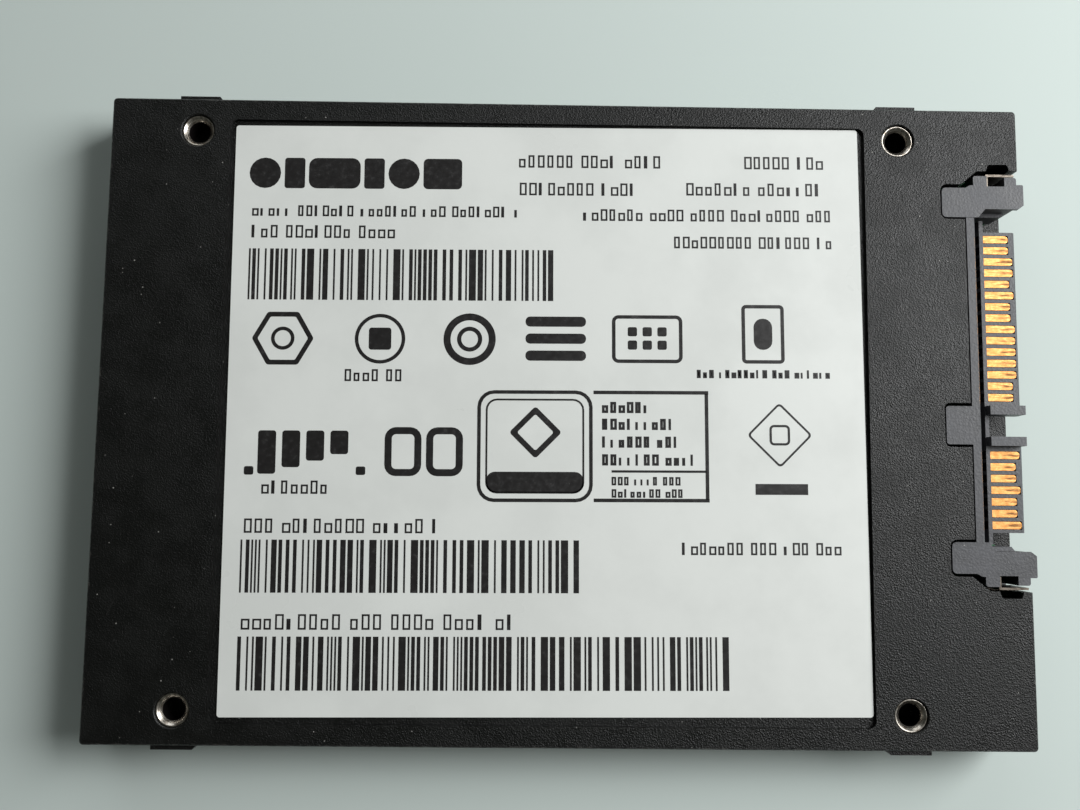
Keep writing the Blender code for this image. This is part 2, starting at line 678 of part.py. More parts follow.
def threaded_insert(name, outer, length):
    """Turned insert standing on z = 0 downward, with a countersunk bore and a retaining groove."""
    outer_radius = outer / 2
    bore_radius = INSERT_BORE / 2
    groove_radius = outer_radius - INSERT_GROOVE
    groove_top, groove_bottom = (length * share for share in GROOVE_SPAN)
    profile = [
        (outer_radius, 0),
        (outer_radius, -groove_top),
        (groove_radius, -groove_top - INSERT_GROOVE),
        (groove_radius, -groove_bottom + INSERT_GROOVE),
        (outer_radius, -groove_bottom),
        (outer_radius, -length),
        (bore_radius, -length),
        (bore_radius, -INSERT_LEAD),
        (outer_radius - INSERT_GROOVE, 0),
    ]
    mesh = bpy.data.meshes.new(name)
    shape = bmesh.new()
    vertices = [shape.verts.new((radius, 0, z)) for radius, z in profile]
    for index, vertex in enumerate(vertices):
        shape.edges.new((vertices[index - 1], vertex))
    shape.to_mesh(mesh)
    shape.free()
    insert = bpy.data.objects.new(name, mesh)
    screw = insert.modifiers.new("turned", "SCREW")
    screw.angle = math.tau
    screw.steps = INSERT_STEPS
    screw.render_steps = INSERT_STEPS
    screw.use_merge_vertices = True
    screw.merge_threshold = WELD
    return insert


def build_inserts(drive, material):
    """Four inserts under the label face and four in the long sides."""
    ends = {FRONT_HOLE_X: "front", REAR_HOLE_X: "rear"}
    sides = {1: "left", -1: "right"}
    for x, y, side in hole_places():
        place = f"{ends[x]}_{sides[side]}"
        bottom = threaded_insert(f"face_insert_{place}", BOTTOM_INSERT_OD, BOTTOM_INSERT_LENGTH)
        bottom.location = (x, y, HEIGHT - BOTTOM_INSERT_SINK)
        drive.add(bottom, material)
        lateral = threaded_insert(f"side_insert_{place}", SIDE_INSERT_OD, side_insert_length())
        lateral.location = (x, side * (WIDTH / 2 - SIDE_INSERT_SINK), SIDE_HOLE_Z)
        lateral.rotation_euler = (-side * math.pi / 2, 0, 0)
        drive.add(lateral, material)


def build_board(drive, material):
    """Circuit board, notched under the plug's tongue and drilled for the pegs."""
    notch_low = plug_point(0, BOARD_NOTCH_GAP, -1)[1]
    notch_high = plug_point(0, BOARD_NOTCH_GAP, 1)[1]
    notch_x = TIP_X - BOARD_NOTCH
    corners = [
        (BOARD_REAR_X, -BOARD_HALF, BOARD_RADIUS),
        (BOARD_FRONT_X, -BOARD_HALF, BOARD_RADIUS),
        (BOARD_FRONT_X, notch_low, BOARD_RADIUS),
        (notch_x, notch_low, BOARD_RADIUS),
        (notch_x, notch_high, BOARD_RADIUS),
        (BOARD_FRONT_X, notch_high, BOARD_RADIUS),
        (BOARD_FRONT_X, BOARD_HALF, BOARD_RADIUS),
        (BOARD_REAR_X, BOARD_HALF, BOARD_RADIUS),
    ]
    board = prism("circuit_board", rounded(corners), BOARD_BOTTOM, BOARD_TOP)
    drive.add(board, material)
    holes = [(place, PEG_RADIUS + PEG_FIT) for place in peg_places()]
    holes += [(place, PLUG_PEG_RADIUS + PEG_FIT) for place in plug_peg_places()]
    drill = 3 * BOARD_THICKNESS
    for index, ((x, y), radius) in enumerate(holes):
        start = (x, y, BOARD_BOTTOM - BOARD_THICKNESS)
        drive.cut(board, cylinder(f"board_hole_{index}", start, drill, radius, segments=24))


def contact_y(position):
    """Place across the plug of a contact position, counted from the outer power contact."""
    return PLUG_OFFSET + (LAST_POSITION - position) * PITCH


def contact_path(tip):
    """Middle line of a contact seen from the side, from its tip to its solder foot."""
    top = TONGUE_TOP + CONTACT_PROUD - CONTACT_THICKNESS / 2
    low = PLUG_BOTTOM + CONTACT_LOW - CONTACT_THICKNESS / 2
    foot = PLUG_BOTTOM + CONTACT_FIT / 2 + CONTACT_THICKNESS / 2
    return [
        (TIP_X - tip, top),
        (TIP_X - CONTACT_RISER, top),
        (TIP_X - CONTACT_RISER, low),
        (TIP_X - CONTACT_BACK, low),
        (TIP_X - CONTACT_BACK - CONTACT_THICKNESS, foot),
        (TIP_X - CONTACT_END, foot),
    ]


def contact(name, tip, y):
    """One contact blade, its tip narrowed to a bullet shape."""
    half = CONTACT_WIDTH / 2
    blade = prism(name, ribbon(contact_path(tip), CONTACT_THICKNESS), y - half, y + half, axis="Y")
    shape = bmesh.new()
    shape.from_mesh(blade.data)
    tip_edges = []
    for edge in shape.edges:
        first, second = (vertex.co for vertex in edge.verts)
        at_tip = min(first.x, second.x) > TIP_X - tip - WELD
        across = abs(first.y - second.y) > CONTACT_THICKNESS / 2
        if at_tip and across and abs(first.z - second.z) < WELD:
            tip_edges.append(edge)
    narrowing = half - CONTACT_POINT / 2
    bmesh.ops.bevel(shape, geom=tip_edges, offset=narrowing, segments=2, profile=0.5, affect="EDGES")
    shape.to_mesh(blade.data)
    shape.free()
    return blade


def contact_list():
    """Name, position and tip of every contact, from the outer power contact to the outer signal one."""
    contacts = []
    for index in range(POWER_CONTACTS):
        number = POWER_CONTACTS - index
        tip = LONG_TIP if number in LONG_POWER_CONTACTS else SHORT_TIP
        contacts.append((f"power_contact_{number:02d}", index, tip))
    for index in range(SIGNAL_CONTACTS):
        number = SIGNAL_CONTACTS - index
        tip = LONG_TIP if number in LONG_SIGNAL_CONTACTS else SHORT_TIP
        position = POWER_CONTACTS + SKIPPED_POSITIONS + index
        contacts.append((f"signal_contact_{number:02d}", position, tip))
    return contacts


def build_contacts(drive, material, housing):
    """Contact blades, and their channels in the housing."""
    half = CONTACT_WIDTH / 2 + CONTACT_FIT
    for name, position, tip in contact_list():
        y = contact_y(position)
        drive.add(contact(name, tip, y), material)
        path = contact_path(tip - CONTACT_FIT)
        path[-1] = (path[-1][0] - CONTACT_FIT, path[-1][1])
        channel = ribbon(path, CONTACT_THICKNESS + 2 * CONTACT_FIT)
        drive.cut(housing, prism(f"{name}_channel", channel, y - half, y + half, axis="Y"))


def ear_outline(side):
    """Plan of one ear of the housing, with its two posts around the board lock."""
    rear_back, rear_front = REAR_POST
    front_back, front_front = FRONT_POST
    relief_back, relief_front = RELIEF_SLOPE
    shoulder_back, shoulder_front = REAR_SHOULDER_SLOPE
    points = [
        (EAR_BACK, 0, EAR_RADIUS),
        (relief_back, 0, 0),
        (relief_front, RELIEF_DEPTH, 0),
        (LEAD_IN_BACK, RELIEF_DEPTH, 0),
        (EAR_FRONT, LEAD_IN_DEPTH, 0),
        (EAR_FRONT, FRONT_SHOULDER, EAR_FRONT_RADIUS),
        (front_front, FRONT_SHOULDER, 0),
        (front_front, FRONT_POST_REACH, POST_RADIUS),
        (front_back, FRONT_POST_REACH, 0),
        (front_back, POCKET_FLOOR, 0),
        (rear_front, POCKET_FLOOR, 0),
        (rear_front, POST_REACH, 0),
        (rear_back, POST_REACH, POST_RADIUS),
        (rear_back, REAR_SHOULDER, 0),
        (shoulder_front, REAR_SHOULDER, 0),
        (shoulder_back, EAR_WIDTH, 0),
        (EAR_BACK, EAR_WIDTH, EAR_RADIUS),
    ]
    return rounded(plug_corners(points, side))


def housing_profile():
    """Section of the housing between the ears: bar, ledge, slot and the ridge at the tongue's root."""
    bar_top = PLUG_TOP - BAR_STEP
    ledge = TONGUE_TOP + RIDGE_RISE + BAR_STEP
    ridge = TONGUE_TOP + RIDGE_RISE
    bottom = PLUG_BOTTOM + BAR_STEP
    return [
        (TIP_X - BAR_BACK, bottom),
        (TIP_X - BAR_BACK, bar_top),
        (TIP_X - BAR_FRONT - BAR_SLOPE, bar_top),
        (TIP_X - BAR_FRONT, bar_top - BAR_SLOPE_DROP),
        (TIP_X - BAR_FRONT, ledge),
        (TIP_X - SLOT_BACK, ledge),
        (TIP_X - SLOT_BACK, ridge - SLOT_DEPTH),
        (TIP_X - SLOT_FRONT, ridge - SLOT_DEPTH),
        (TIP_X - SLOT_FRONT, ridge),
        (TIP_X - RIDGE_FRONT, ridge),
        (TIP_X - RIDGE_FRONT, bottom),
    ]


def tongue_profile():
    """Section of the tongue, with chamfers at its tip."""
    return [
        (TIP_X - RIDGE_FRONT - EMBED, TONGUE_BOTTOM),
        (TIP_X - TONGUE_CHAMFER, TONGUE_BOTTOM),
        (TIP_X, TONGUE_BOTTOM + TONGUE_CHAMFER),
        (TIP_X, TONGUE_TOP - TONGUE_CHAMFER),
        (TIP_X - TONGUE_CHAMFER, TONGUE_TOP),
        (TIP_X - RIDGE_FRONT - EMBED, TONGUE_TOP),
    ]


def build_housing(drive, material):
    """Plug housing: ears joined by a bar, with the power and signal tongues."""
    housing = prism("plug_housing", ear_outline(1), PLUG_BOTTOM, PLUG_TOP)
    drive.add(housing, material)
    drive.join(housing, prism("plug_ear", ear_outline(-1), PLUG_BOTTOM, PLUG_TOP))
    bar_half = EAR_INNER + EMBED
    low = PLUG_OFFSET - bar_half
    high = PLUG_OFFSET + bar_half
    drive.join(housing, prism("plug_bar", housing_profile(), low, high, axis="Y"))
    tab_y = PLUG_OFFSET + TAB_OFFSET
    tab_low = tab_y - TAB_WIDTH / 2
    tab_high = tab_y + TAB_WIDTH / 2
    tab = rounded(
        [
            (TIP_X - TAB_BACK, tab_low, TAB_RADIUS),
            (TIP_X - BAR_BACK + EMBED, tab_low, 0),
            (TIP_X - BAR_BACK + EMBED, tab_high, 0),
            (TIP_X - TAB_BACK, tab_high, TAB_RADIUS),
        ]
    )
    drive.join(housing, prism("plug_tab", tab, PLUG_BOTTOM, PLUG_TOP - BAR_STEP))
    power_end = contact_y(POWER_CONTACTS - 1) - TONGUE_KEY_MARGIN
    signal_end = contact_y(POWER_CONTACTS + SKIPPED_POSITIONS) + TONGUE_KEY_MARGIN
    spans = {
        "power": (power_end, PLUG_OFFSET + TONGUE_HALF, power_end, power_end + KEY_WIDTH),
        "signal": (PLUG_OFFSET - TONGUE_HALF, signal_end, signal_end - KEY_WIDTH, signal_end),
    }
    for name, (tongue_low, tongue_high, key_low, key_high) in spans.items():
        tongue = prism(f"{name}_tongue", tongue_profile(), tongue_low, tongue_high, axis="Y")
        drive.join(housing, tongue)
        low = (TIP_X - RIDGE_FRONT - EMBED, key_low, TONGUE_BOTTOM + TONGUE_CHAMFER)
        high = (TIP_X - KEY_SETBACK, key_high, TONGUE_TOP + KEY_RISE)
        drive.join(housing, block(f"{name}_key", low, high))
    add_guides(drive, housing)
    undercut_ears(drive, housing)
    for index, (x, y) in enumerate(plug_peg_places()):
        root = (x, y, PLUG_BOTTOM + EMBED)
        peg = cylinder(f"plug_peg_{index}", root, -EMBED - PEG_REACH, PLUG_PEG_RADIUS, segments=16)
        drive.join(housing, peg)
    return housing


def add_guides(drive, housing):
    """Low steps on the ears' inner sides that guide the cable's plug."""
    guide_back, guide_front = GUIDE_SPAN
    points = [
        (guide_back, RELIEF_DEPTH - GUIDE_REACH, 0),
        (guide_front + GUIDE_SLOPE, RELIEF_DEPTH - GUIDE_REACH, 0),
        (guide_front, RELIEF_DEPTH + EMBED, 0),
        (guide_back, RELIEF_DEPTH + EMBED, 0),
    ]
    for side, name in ((1, "power_guide"), (-1, "signal_guide")):
        outline = rounded(plug_corners(points, side))
        drive.join(housing, prism(name, outline, PLUG_BOTTOM + BAR_STEP, PLUG_TOP - GUIDE_DROP))


def undercut_ears(drive, housing):
    """Cut the ears' front inner corners back under a thin tip, so that a cable's plug finds its way in."""
    outward = RELIEF_DEPTH + UNDERCUT_WIDTH
    for side, name in ((1, "power_undercut"), (-1, "signal_undercut")):
        first = plug_point(UNDERCUT_BACK, RELIEF_DEPTH - EMBED, side)
        second = plug_point(-EMBED, outward, side)
        low_y, high_y = sorted((first[1], second[1]))
        low = (first[0], low_y, PLUG_BOTTOM - EMBED)
        high = (second[0], high_y, PLUG_TOP - EAR_TIP_THICKNESS)
        drive.cut(housing, block(name, low, high))


def build_board_locks(drive, material):
    """Metal clips beside the ears' posts, soldered to the board."""
    arm = POST_REACH + LOCK_GAP
    back = REAR_POST[1] - LOCK_GAP
    for side, name in ((1, "board_lock_power"), (-1, "board_lock_signal")):
        points = [
            (FRONT_POST[1], arm, 0),
            (FRONT_POST[1], arm + LOCK_THICKNESS, 0),
            (back, arm + LOCK_THICKNESS, LOCK_THICKNESS / 2),
            (back, POCKET_FLOOR + LOCK_GAP, 0),
            (back - LOCK_THICKNESS, POCKET_FLOOR + LOCK_GAP, 0),
            (back - LOCK_THICKNESS, arm, 0),
        ]
        lock = prism(name, rounded(plug_corners(points, side)), PLUG_BOTTOM, PLUG_TOP - LOCK_DROP)
        drive.add(lock, material)
        first = plug_point(back, arm + LOCK_THICKNESS / 2, side)
        second = plug_point(FRONT_POST[0] + EMBED, arm + LOCK_FOOT, side)
        low_y, high_y = sorted((first[1], second[1]))
        foot_low = (first[0] + LOCK_GAP, low_y, PLUG_BOTTOM - LOCK_SINK)
        foot_high = (second[0], high_y, PLUG_BOTTOM + LOCK_THICKNESS)
        drive.join(lock, block(f"{name}_foot", foot_low, foot_high))


def package(drive, name, centre, size, material):
    """Chip or passive part on the board's upper face, with softened upper edges."""
    length, width, height = size
    x, y = centre
    outline = rectangle(x - length / 2, y - width / 2, x + length / 2, y + width / 2)
    bottom = BOARD_TOP + PART_GAP
    body = prism(name, outline, bottom, bottom + height)
    chamfer_rim(body, height / 2, PACKAGE_CHAMFER)
    drive.add(body, material)


def build_packages(drive, chip, metal, ceramic, silicone):
    """Memory, controller, its thermal pad, power parts and the small passives."""
    memory_x = BOARD_REAR_X + MEMORY_REAR_SPACE + MEMORY_SIZE[0] / 2
    memory_y = (MEMORY_SIZE[1] + MEMORY_SPACE) / 2
    package(drive, "memory_chip_1", (memory_x, memory_y), MEMORY_SIZE, chip)
    package(drive, "memory_chip_2", (memory_x, -memory_y), MEMORY_SIZE, chip)
    controller_x = memory_x + MEMORY_SIZE[0] / 2 + CONTROLLER_TO_MEMORY + CONTROLLER_SIZE[0] / 2
    package(drive, "controller_chip", (controller_x, 0), CONTROLLER_SIZE, chip)
    pad_bottom = BOARD_TOP + PART_GAP + CONTROLLER_SIZE[2] + PAD_GAP
    pad_half = CONTROLLER_SIZE[0] / 2 - PAD_INSET
    pad_low = (controller_x - pad_half, -pad_half, pad_bottom)
    pad_high = (controller_x + pad_half, pad_half, CAVITY_TOP - PAD_GAP)
    drive.add(block("thermal_pad", pad_low, pad_high), silicone)
    power_y = -CONTROLLER_SIZE[1] / 2 - CONTROLLER_TO_POWER - REGULATOR_SIZE[1] / 2
    package(drive, "power_regulator", (controller_x, power_y), REGULATOR_SIZE, chip)
    package(drive, "inductor_1", (controller_x - INDUCTOR_PITCH, power_y), INDUCTOR_SIZE, chip)
    package(drive, "inductor_2", (controller_x, power_y - INDUCTOR_PITCH), INDUCTOR_SIZE, chip)
    crystal_y = CONTROLLER_SIZE[1] / 2 + CONTROLLER_TO_CRYSTAL + CRYSTAL_SIZE[1] / 2
    package(drive, "crystal", (controller_x, crystal_y), CRYSTAL_SIZE, metal)
    capacitor_y = crystal_y + CRYSTAL_TO_CAPACITORS + CAPACITOR_SIZE[1] / 2
    for index in range(CAPACITORS):
        x = controller_x + (index - (CAPACITORS - 1) / 2) * CAPACITOR_PITCH
        package(drive, f"bulk_capacitor_{index + 1}", (x, capacitor_y), CAPACITOR_SIZE, ceramic)
    behind = BAR_BACK + FILTER_GAP + FILTER_SIZE[0] / 2
    ear_side = plug_point(behind, -FILTER_EAR_GAP - FILTER_SIZE[1] / 2, -1)
    package(drive, "filter_capacitor", ear_side, FILTER_SIZE, metal)


def main():
    """Build the drive."""
    for existing in list(bpy.data.objects):
        bpy.data.objects.remove(existing)
    drive = Assembly("solid_state_drive")
    case_plastic = new_material("case_plastic", (0.035, 0.035, 0.04), 0.6)
    plug_plastic = new_material("plug_plastic", (0.07, 0.07, 0.075), 0.5)
    label_film = new_material("label_film", (0.8, 0.8, 0.8), 0.45)
    insert_steel = new_material("insert_steel", (0.55, 0.5, 0.44), 0.3, 1.0)
    contact_gold = new_material("contact_gold", (0.9, 0.6, 0.25), 0.3, 1.0)
    tinned_metal = new_material("tinned_metal", (0.65, 0.65, 0.65), 0.35, 1.0)
    board_laminate = new_material("board_laminate", (0.03, 0.16, 0.07), 0.4)
    chip_resin = new_material("chip_resin", (0.02, 0.02, 0.022), 0.5)
    capacitor_ceramic = new_material("capacitor_ceramic", (0.4, 0.27, 0.16), 0.5)
    thermal_silicone = new_material("thermal_silicone", (0.4, 0.45, 0.5), 0.8)
    build_base_shell(drive, case_plastic)
    build_cover(drive, case_plastic)
    build_label(drive, label_film)
    build_inserts(drive, insert_steel)
    build_board(drive, board_laminate)
    housing = build_housing(drive, plug_plastic)
    build_contacts(drive, contact_gold, housing)
    build_board_locks(drive, tinned_metal)
    build_packages(drive, chip_resin, tinned_metal, capacitor_ceramic, thermal_silicone)


main()
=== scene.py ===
"""Looks of a 2.5 inch solid state drive with a printed label and an edge plug.

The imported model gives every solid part.  This script dresses those parts, stands finer pieces in for
the turned and the two-material ones, prints the label and sets up a plain studio.
Everything is in metres in the model's own frame: +Z up out of the label, +X towards the plug.
"""

from __future__ import annotations

import logging
import math
import random
from dataclasses import dataclass, field
from enum import Enum

import bmesh
import bpy
from mathutils import Matrix, Vector

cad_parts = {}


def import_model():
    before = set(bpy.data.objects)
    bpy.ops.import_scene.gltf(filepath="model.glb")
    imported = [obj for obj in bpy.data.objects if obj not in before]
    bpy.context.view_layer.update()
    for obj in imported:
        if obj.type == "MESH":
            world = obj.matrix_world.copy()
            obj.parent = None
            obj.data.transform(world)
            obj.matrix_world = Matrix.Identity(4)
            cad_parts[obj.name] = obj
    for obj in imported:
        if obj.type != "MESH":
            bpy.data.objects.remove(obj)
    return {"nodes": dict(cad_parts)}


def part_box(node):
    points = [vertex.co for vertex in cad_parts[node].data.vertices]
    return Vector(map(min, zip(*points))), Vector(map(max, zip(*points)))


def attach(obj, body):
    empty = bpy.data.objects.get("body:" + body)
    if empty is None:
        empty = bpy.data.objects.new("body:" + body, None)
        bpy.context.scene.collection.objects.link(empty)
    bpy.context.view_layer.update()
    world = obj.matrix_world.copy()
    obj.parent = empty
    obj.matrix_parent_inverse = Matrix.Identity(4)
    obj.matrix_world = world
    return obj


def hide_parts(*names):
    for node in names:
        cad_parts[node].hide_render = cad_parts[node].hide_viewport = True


LOG = logging.getLogger("solid_state_drive")
MM = 0.001
BODY = "root"

Colour = tuple[float, float, float]
Outline = list[Vector]
Socket = bpy.types.NodeSocket


def span(low: float, high: float, share: float) -> float:
    """Value at a share of the way from low to high."""
    return low + (high - low) * share


# --------------------------------------------------------------------------------------------------
# Node trees
# --------------------------------------------------------------------------------------------------


class Graph:
    """Short-hand for wiring one node tree."""

    def __init__(self, tree: bpy.types.NodeTree) -> None:
        """Take hold of a tree.

        Args:
            tree: the material's or the group's node tree.
        """
        self.tree = tree

    def node(self, kind: str, **settings: object) -> bpy.types.Node:
        """Add a node.

        Args:
            kind: the node's type name.
            settings: properties to set on the node.

        Returns:
            The new node.
        """
        made = self.tree.nodes.new(kind)
        for name, value in settings.items():
            setattr(made, name, value)
        return made

    def feed(self, target: Socket, value: object) -> None:
        """Link a socket, or set a plain value, into an input.

        Args:
            target: the input socket.
            value: an output socket, a number, a vector or a colour.
        """
        if isinstance(value, bpy.types.NodeSocket):
            self.tree.links.new(value, target)
        elif target.type == "RGBA" and len(value) == 3:
            target.default_value = (*value, 1.0)
        else:
            target.default_value = value

    def math(self, operation: str, first: object, second: object = 0.0, clamp: bool = False) -> Socket:
        """Math node.

        Args:
            operation: Blender's name of the operation.
            first: first operand.
            second: second operand.
            clamp: whether the result is kept from 0 to 1.

        Returns:
            The result's socket.
        """
        made = self.node("ShaderNodeMath", operation=operation, use_clamp=clamp)
        self.feed(made.inputs[0], first)
        self.feed(made.inputs[1], second)
        return made.outputs[0]

    def vector(self, operation: str, first: object, second: object = (0.0, 0.0, 0.0)) -> Socket:
        """Vector Math node with a vector result.

        Args:
            operation: Blender's name of the operation.
            first: first operand.
            second: second operand.

        Returns:
            The result's socket.
        """
        made = self.node("ShaderNodeVectorMath", operation=operation)
        self.feed(made.inputs[0], first)
        self.feed(made.inputs[1], second)
        return made.outputs[0]

    def split(self, vector: Socket) -> list[Socket]:
        """The three components of a vector.

        Args:
            vector: the vector's socket.

        Returns:
            The sockets of X, Y and Z.
        """
        made = self.node("ShaderNodeSeparateXYZ")
        self.feed(made.inputs[0], vector)
        return list(made.outputs)

    def joined(self, x: object, y: object, z: object) -> Socket:
        """Vector of three components.

        Args:
            x: first component.
            y: second component.
            z: third component.

        Returns:
            The vector's socket.
        """
        made = self.node("ShaderNodeCombineXYZ")
        for target, value in zip(made.inputs, (x, y, z)):
            self.feed(target, value)
        return made.outputs[0]

    def noise(self, place: Socket, scale: object, detail: float = 2.0, rough: float = 0.5) -> Socket:
        """Noise texture's value.

        Args:
            place: where it is read.
            scale: features per unit.
            detail: octaves.
            rough: strength of the finer octaves.

        Returns:
            A value about 0.5.
        """
        made = self.node("ShaderNodeTexNoise")
        self.feed(made.inputs["Vector"], place)
        self.feed(made.inputs["Scale"], scale)
        made.inputs["Detail"].default_value = detail
        made.inputs["Roughness"].default_value = rough
        return made.outputs["Fac"]

    def cells(self, place: Socket, scale: object) -> tuple[Socket, Socket]:
        """Voronoi texture.

        Args:
            place: where it is read.
            scale: cells per unit.

        Returns:
            The distance to the nearest point, and that point's random value.
        """
        made = self.node("ShaderNodeTexVoronoi")
        self.feed(made.inputs["Vector"], place)
        self.feed(made.inputs["Scale"], scale)
        return made.outputs["Distance"], self.split(made.outputs["Color"])[0]

    def between(
        self, value: Socket, low: object, high: object, to_low: float = 0.0, to_high: float = 1.0
    ) -> Socket:
        """Smooth step of a value.

        Args:
            value: what is mapped.
            low: value that gives to_low.
            high: value that gives to_high.
            to_low: result at low and beyond.
            to_high: result at high and beyond.

        Returns:
            The mapped value's socket.
        """
        made = self.node("ShaderNodeMapRange", interpolation_type="SMOOTHSTEP")
        for name, item in zip(
            ("Value", "From Min", "From Max", "To Min", "To Max"), (value, low, high, to_low, to_high)
        ):
            self.feed(made.inputs[name], item)
        return made.outputs["Result"]

    def mix(self, share: object, first: object, second: object) -> Socket:
        """Colour between two.

        Args:
            share: 0 for the first and 1 for the second.
            first: first colour.
            second: second colour.

        Returns:
            The colour's socket.
        """
        made = self.node("ShaderNodeMix", data_type="RGBA")
        colours = [socket for socket in made.inputs if socket.type == "RGBA"]
        self.feed(made.inputs[0], share)
        self.feed(colours[0], first)
        self.feed(colours[1], second)
        return next(socket for socket in made.outputs if socket.type == "RGBA")

    def blend(self, share: object, first: object, second: object) -> Socket:
        """Number between two.

        Args:
            share: 0 for the first and 1 for the second.
            first: first number.
            second: second number.

        Returns:
            The number's socket.
        """
        made = self.node("ShaderNodeMix", data_type="FLOAT")
        self.feed(made.inputs[0], share)
        self.feed(made.inputs[2], first)
        self.feed(made.inputs[3], second)
        return made.outputs[0]

    def group(self, effect: Effect, **values: object) -> dict[str, Socket]:
        """Place a shared effect.

        Args:
            effect: the effect to place.
            values: its inputs by name.

        Returns:
            The outputs by name.
        """
        made = self.node("ShaderNodeGroup")
        made.node_tree = effect.tree()
        for name, value in values.items():
            self.feed(made.inputs[name], value)
        return {socket.name: socket for socket in made.outputs}


class Effect:
    """Surface effect shared by several materials, as one node group."""

    name = "effect"
    inputs: dict[str, object] = {}
    outputs: tuple[str, ...] = ("mask",)

    def tree(self) -> bpy.types.NodeTree:
        """Build the group once.

        Returns:
            The node group.
        """
        made = bpy.data.node_groups.get(self.name)
        if made:
            return made
        made = bpy.data.node_groups.new(self.name, "ShaderNodeTree")
        for name, value in self.inputs.items():
            kind = "NodeSocketVector" if isinstance(value, tuple) else "NodeSocketFloat"
            made.interface.new_socket(name=name, in_out="INPUT", socket_type=kind).default_value = value
        for name in self.outputs:
            made.interface.new_socket(name=name, in_out="OUTPUT", socket_type="NodeSocketFloat")
        graph = Graph(made)
        entry = graph.node("NodeGroupInput")
        leaving = graph.node("NodeGroupOutput")
        results = self.wire(graph, {socket.name: socket for socket in entry.outputs if socket.name})
        for name, socket in zip(self.outputs, results):
            graph.feed(leaving.inputs[name], socket)
        return made

    def wire(self, graph: Graph, entry: dict[str, Socket]) -> list[Socket]:
        """Wire the group from its inputs.

        Args:
            graph: the group's tree.
            entry: its inputs by name.

        Returns:
            Its outputs in order.
        """
        raise NotImplementedError


class Grain(Effect):
    """Sand-like grain of a moulded or blasted surface."""

    name = "surface_grain"
    inputs = {"place": (0.0, 0.0, 0.0), "size": 0.2}
    outputs = ("height", "pits")

    def wire(self, graph: Graph, entry: dict[str, Socket]) -> list[Socket]:
        """Wire rounded pebbles with finer noise on them.

        Args:
            graph: the group's tree.
            entry: its inputs by name.

        Returns:
            Its outputs in order.
        """
        scale = graph.math("DIVIDE", 1.0, entry["size"])
        distance, _ = graph.cells(entry["place"], scale)
        fine = graph.noise(entry["place"], graph.math("MULTIPLY", scale, 1.3), 3.0, 0.65)
        sand = graph.between(fine, 0.3, 0.7)
        pebble = graph.between(distance, 0.75, 0.1)
        height = graph.math("ADD", graph.math("MULTIPLY", pebble, 0.55), graph.math("MULTIPLY", sand, 0.45))
        pits = graph.between(height, 0.45, 0.2)
        return [height, pits]


class Specks(Effect):
    """Scattered dust grains and nicks."""

    name = "dust_specks"
    inputs = {"place": (0.0, 0.0, 0.0), "spacing": 2.0, "radius": 0.05, "share": 0.3}

    def wire(self, graph: Graph, entry: dict[str, Socket]) -> list[Socket]:
        """Wire one ragged spot in a share of the cells.

        Args:
            graph: the group's tree.
            entry: its inputs by name.

        Returns:
            Its outputs in order.
        """
        scale = graph.math("DIVIDE", 1.0, entry["spacing"])
        ragged = graph.noise(entry["place"], 9.0, 2.0)
        distance, chance = graph.cells(entry["place"], scale)
        distance = graph.math("MULTIPLY", distance, entry["spacing"])
        distance = graph.math("MULTIPLY", distance, graph.blend(ragged, 0.4, 1.6))
        reach = graph.math("MULTIPLY", entry["radius"], graph.math("ADD", chance, 0.5))
        spot = graph.between(distance, reach, graph.math("MULTIPLY", reach, 0.6))
        chosen = graph.math("LESS_THAN", chance, entry["share"])
        return [graph.math("MULTIPLY", spot, chosen)]


class Scratches(Effect):
    """Fine straight scratches of random length in one direction."""

    name = "fine_scratches"
    inputs = {"place": (0.0, 0.0, 0.0), "spacing": 1.5, "width": 0.03, "share": 0.35, "turn": 0.4}

    def wire(self, graph: Graph, entry: dict[str, Socket]) -> list[Socket]:
        """Wire one thin broken line in each lane across the turned surface.

        Args:
            graph: the group's tree.
            entry: its inputs by name.

        Returns:
            Its outputs in order.
        """
        turned = graph.node("ShaderNodeVectorRotate", rotation_type="Z_AXIS")
        graph.feed(turned.inputs["Vector"], entry["place"])
        graph.feed(turned.inputs["Angle"], entry["turn"])
        along, across, up = graph.split(turned.outputs[0])
        bend = graph.noise(graph.joined(along, 0.0, up), 0.12, 1.0)
        across = graph.math("ADD", across, graph.math("MULTIPLY", bend, 1.2))
        lane = graph.math("DIVIDE", across, entry["spacing"])
        number = graph.math("FLOOR", lane)
        chance = graph.node("ShaderNodeTexWhiteNoise", noise_dimensions="1D")
        graph.feed(chance.inputs["W"], number)
        centre = graph.blend(chance.outputs["Value"], 0.15, 0.85)
        offset = graph.math("ABSOLUTE", graph.math("SUBTRACT", graph.math("FRACT", lane), centre))
        offset = graph.math("MULTIPLY", offset, entry["spacing"])
        line = graph.between(offset, entry["width"], 0.0)
        pieces = graph.noise(graph.joined(along, graph.math("MULTIPLY", number, 7.3), 0.0), 0.21, 2.0)
        present = graph.between(pieces, graph.math("SUBTRACT", 0.85, entry["share"]), 0.9)
        return [graph.math("MULTIPLY", line, present)]


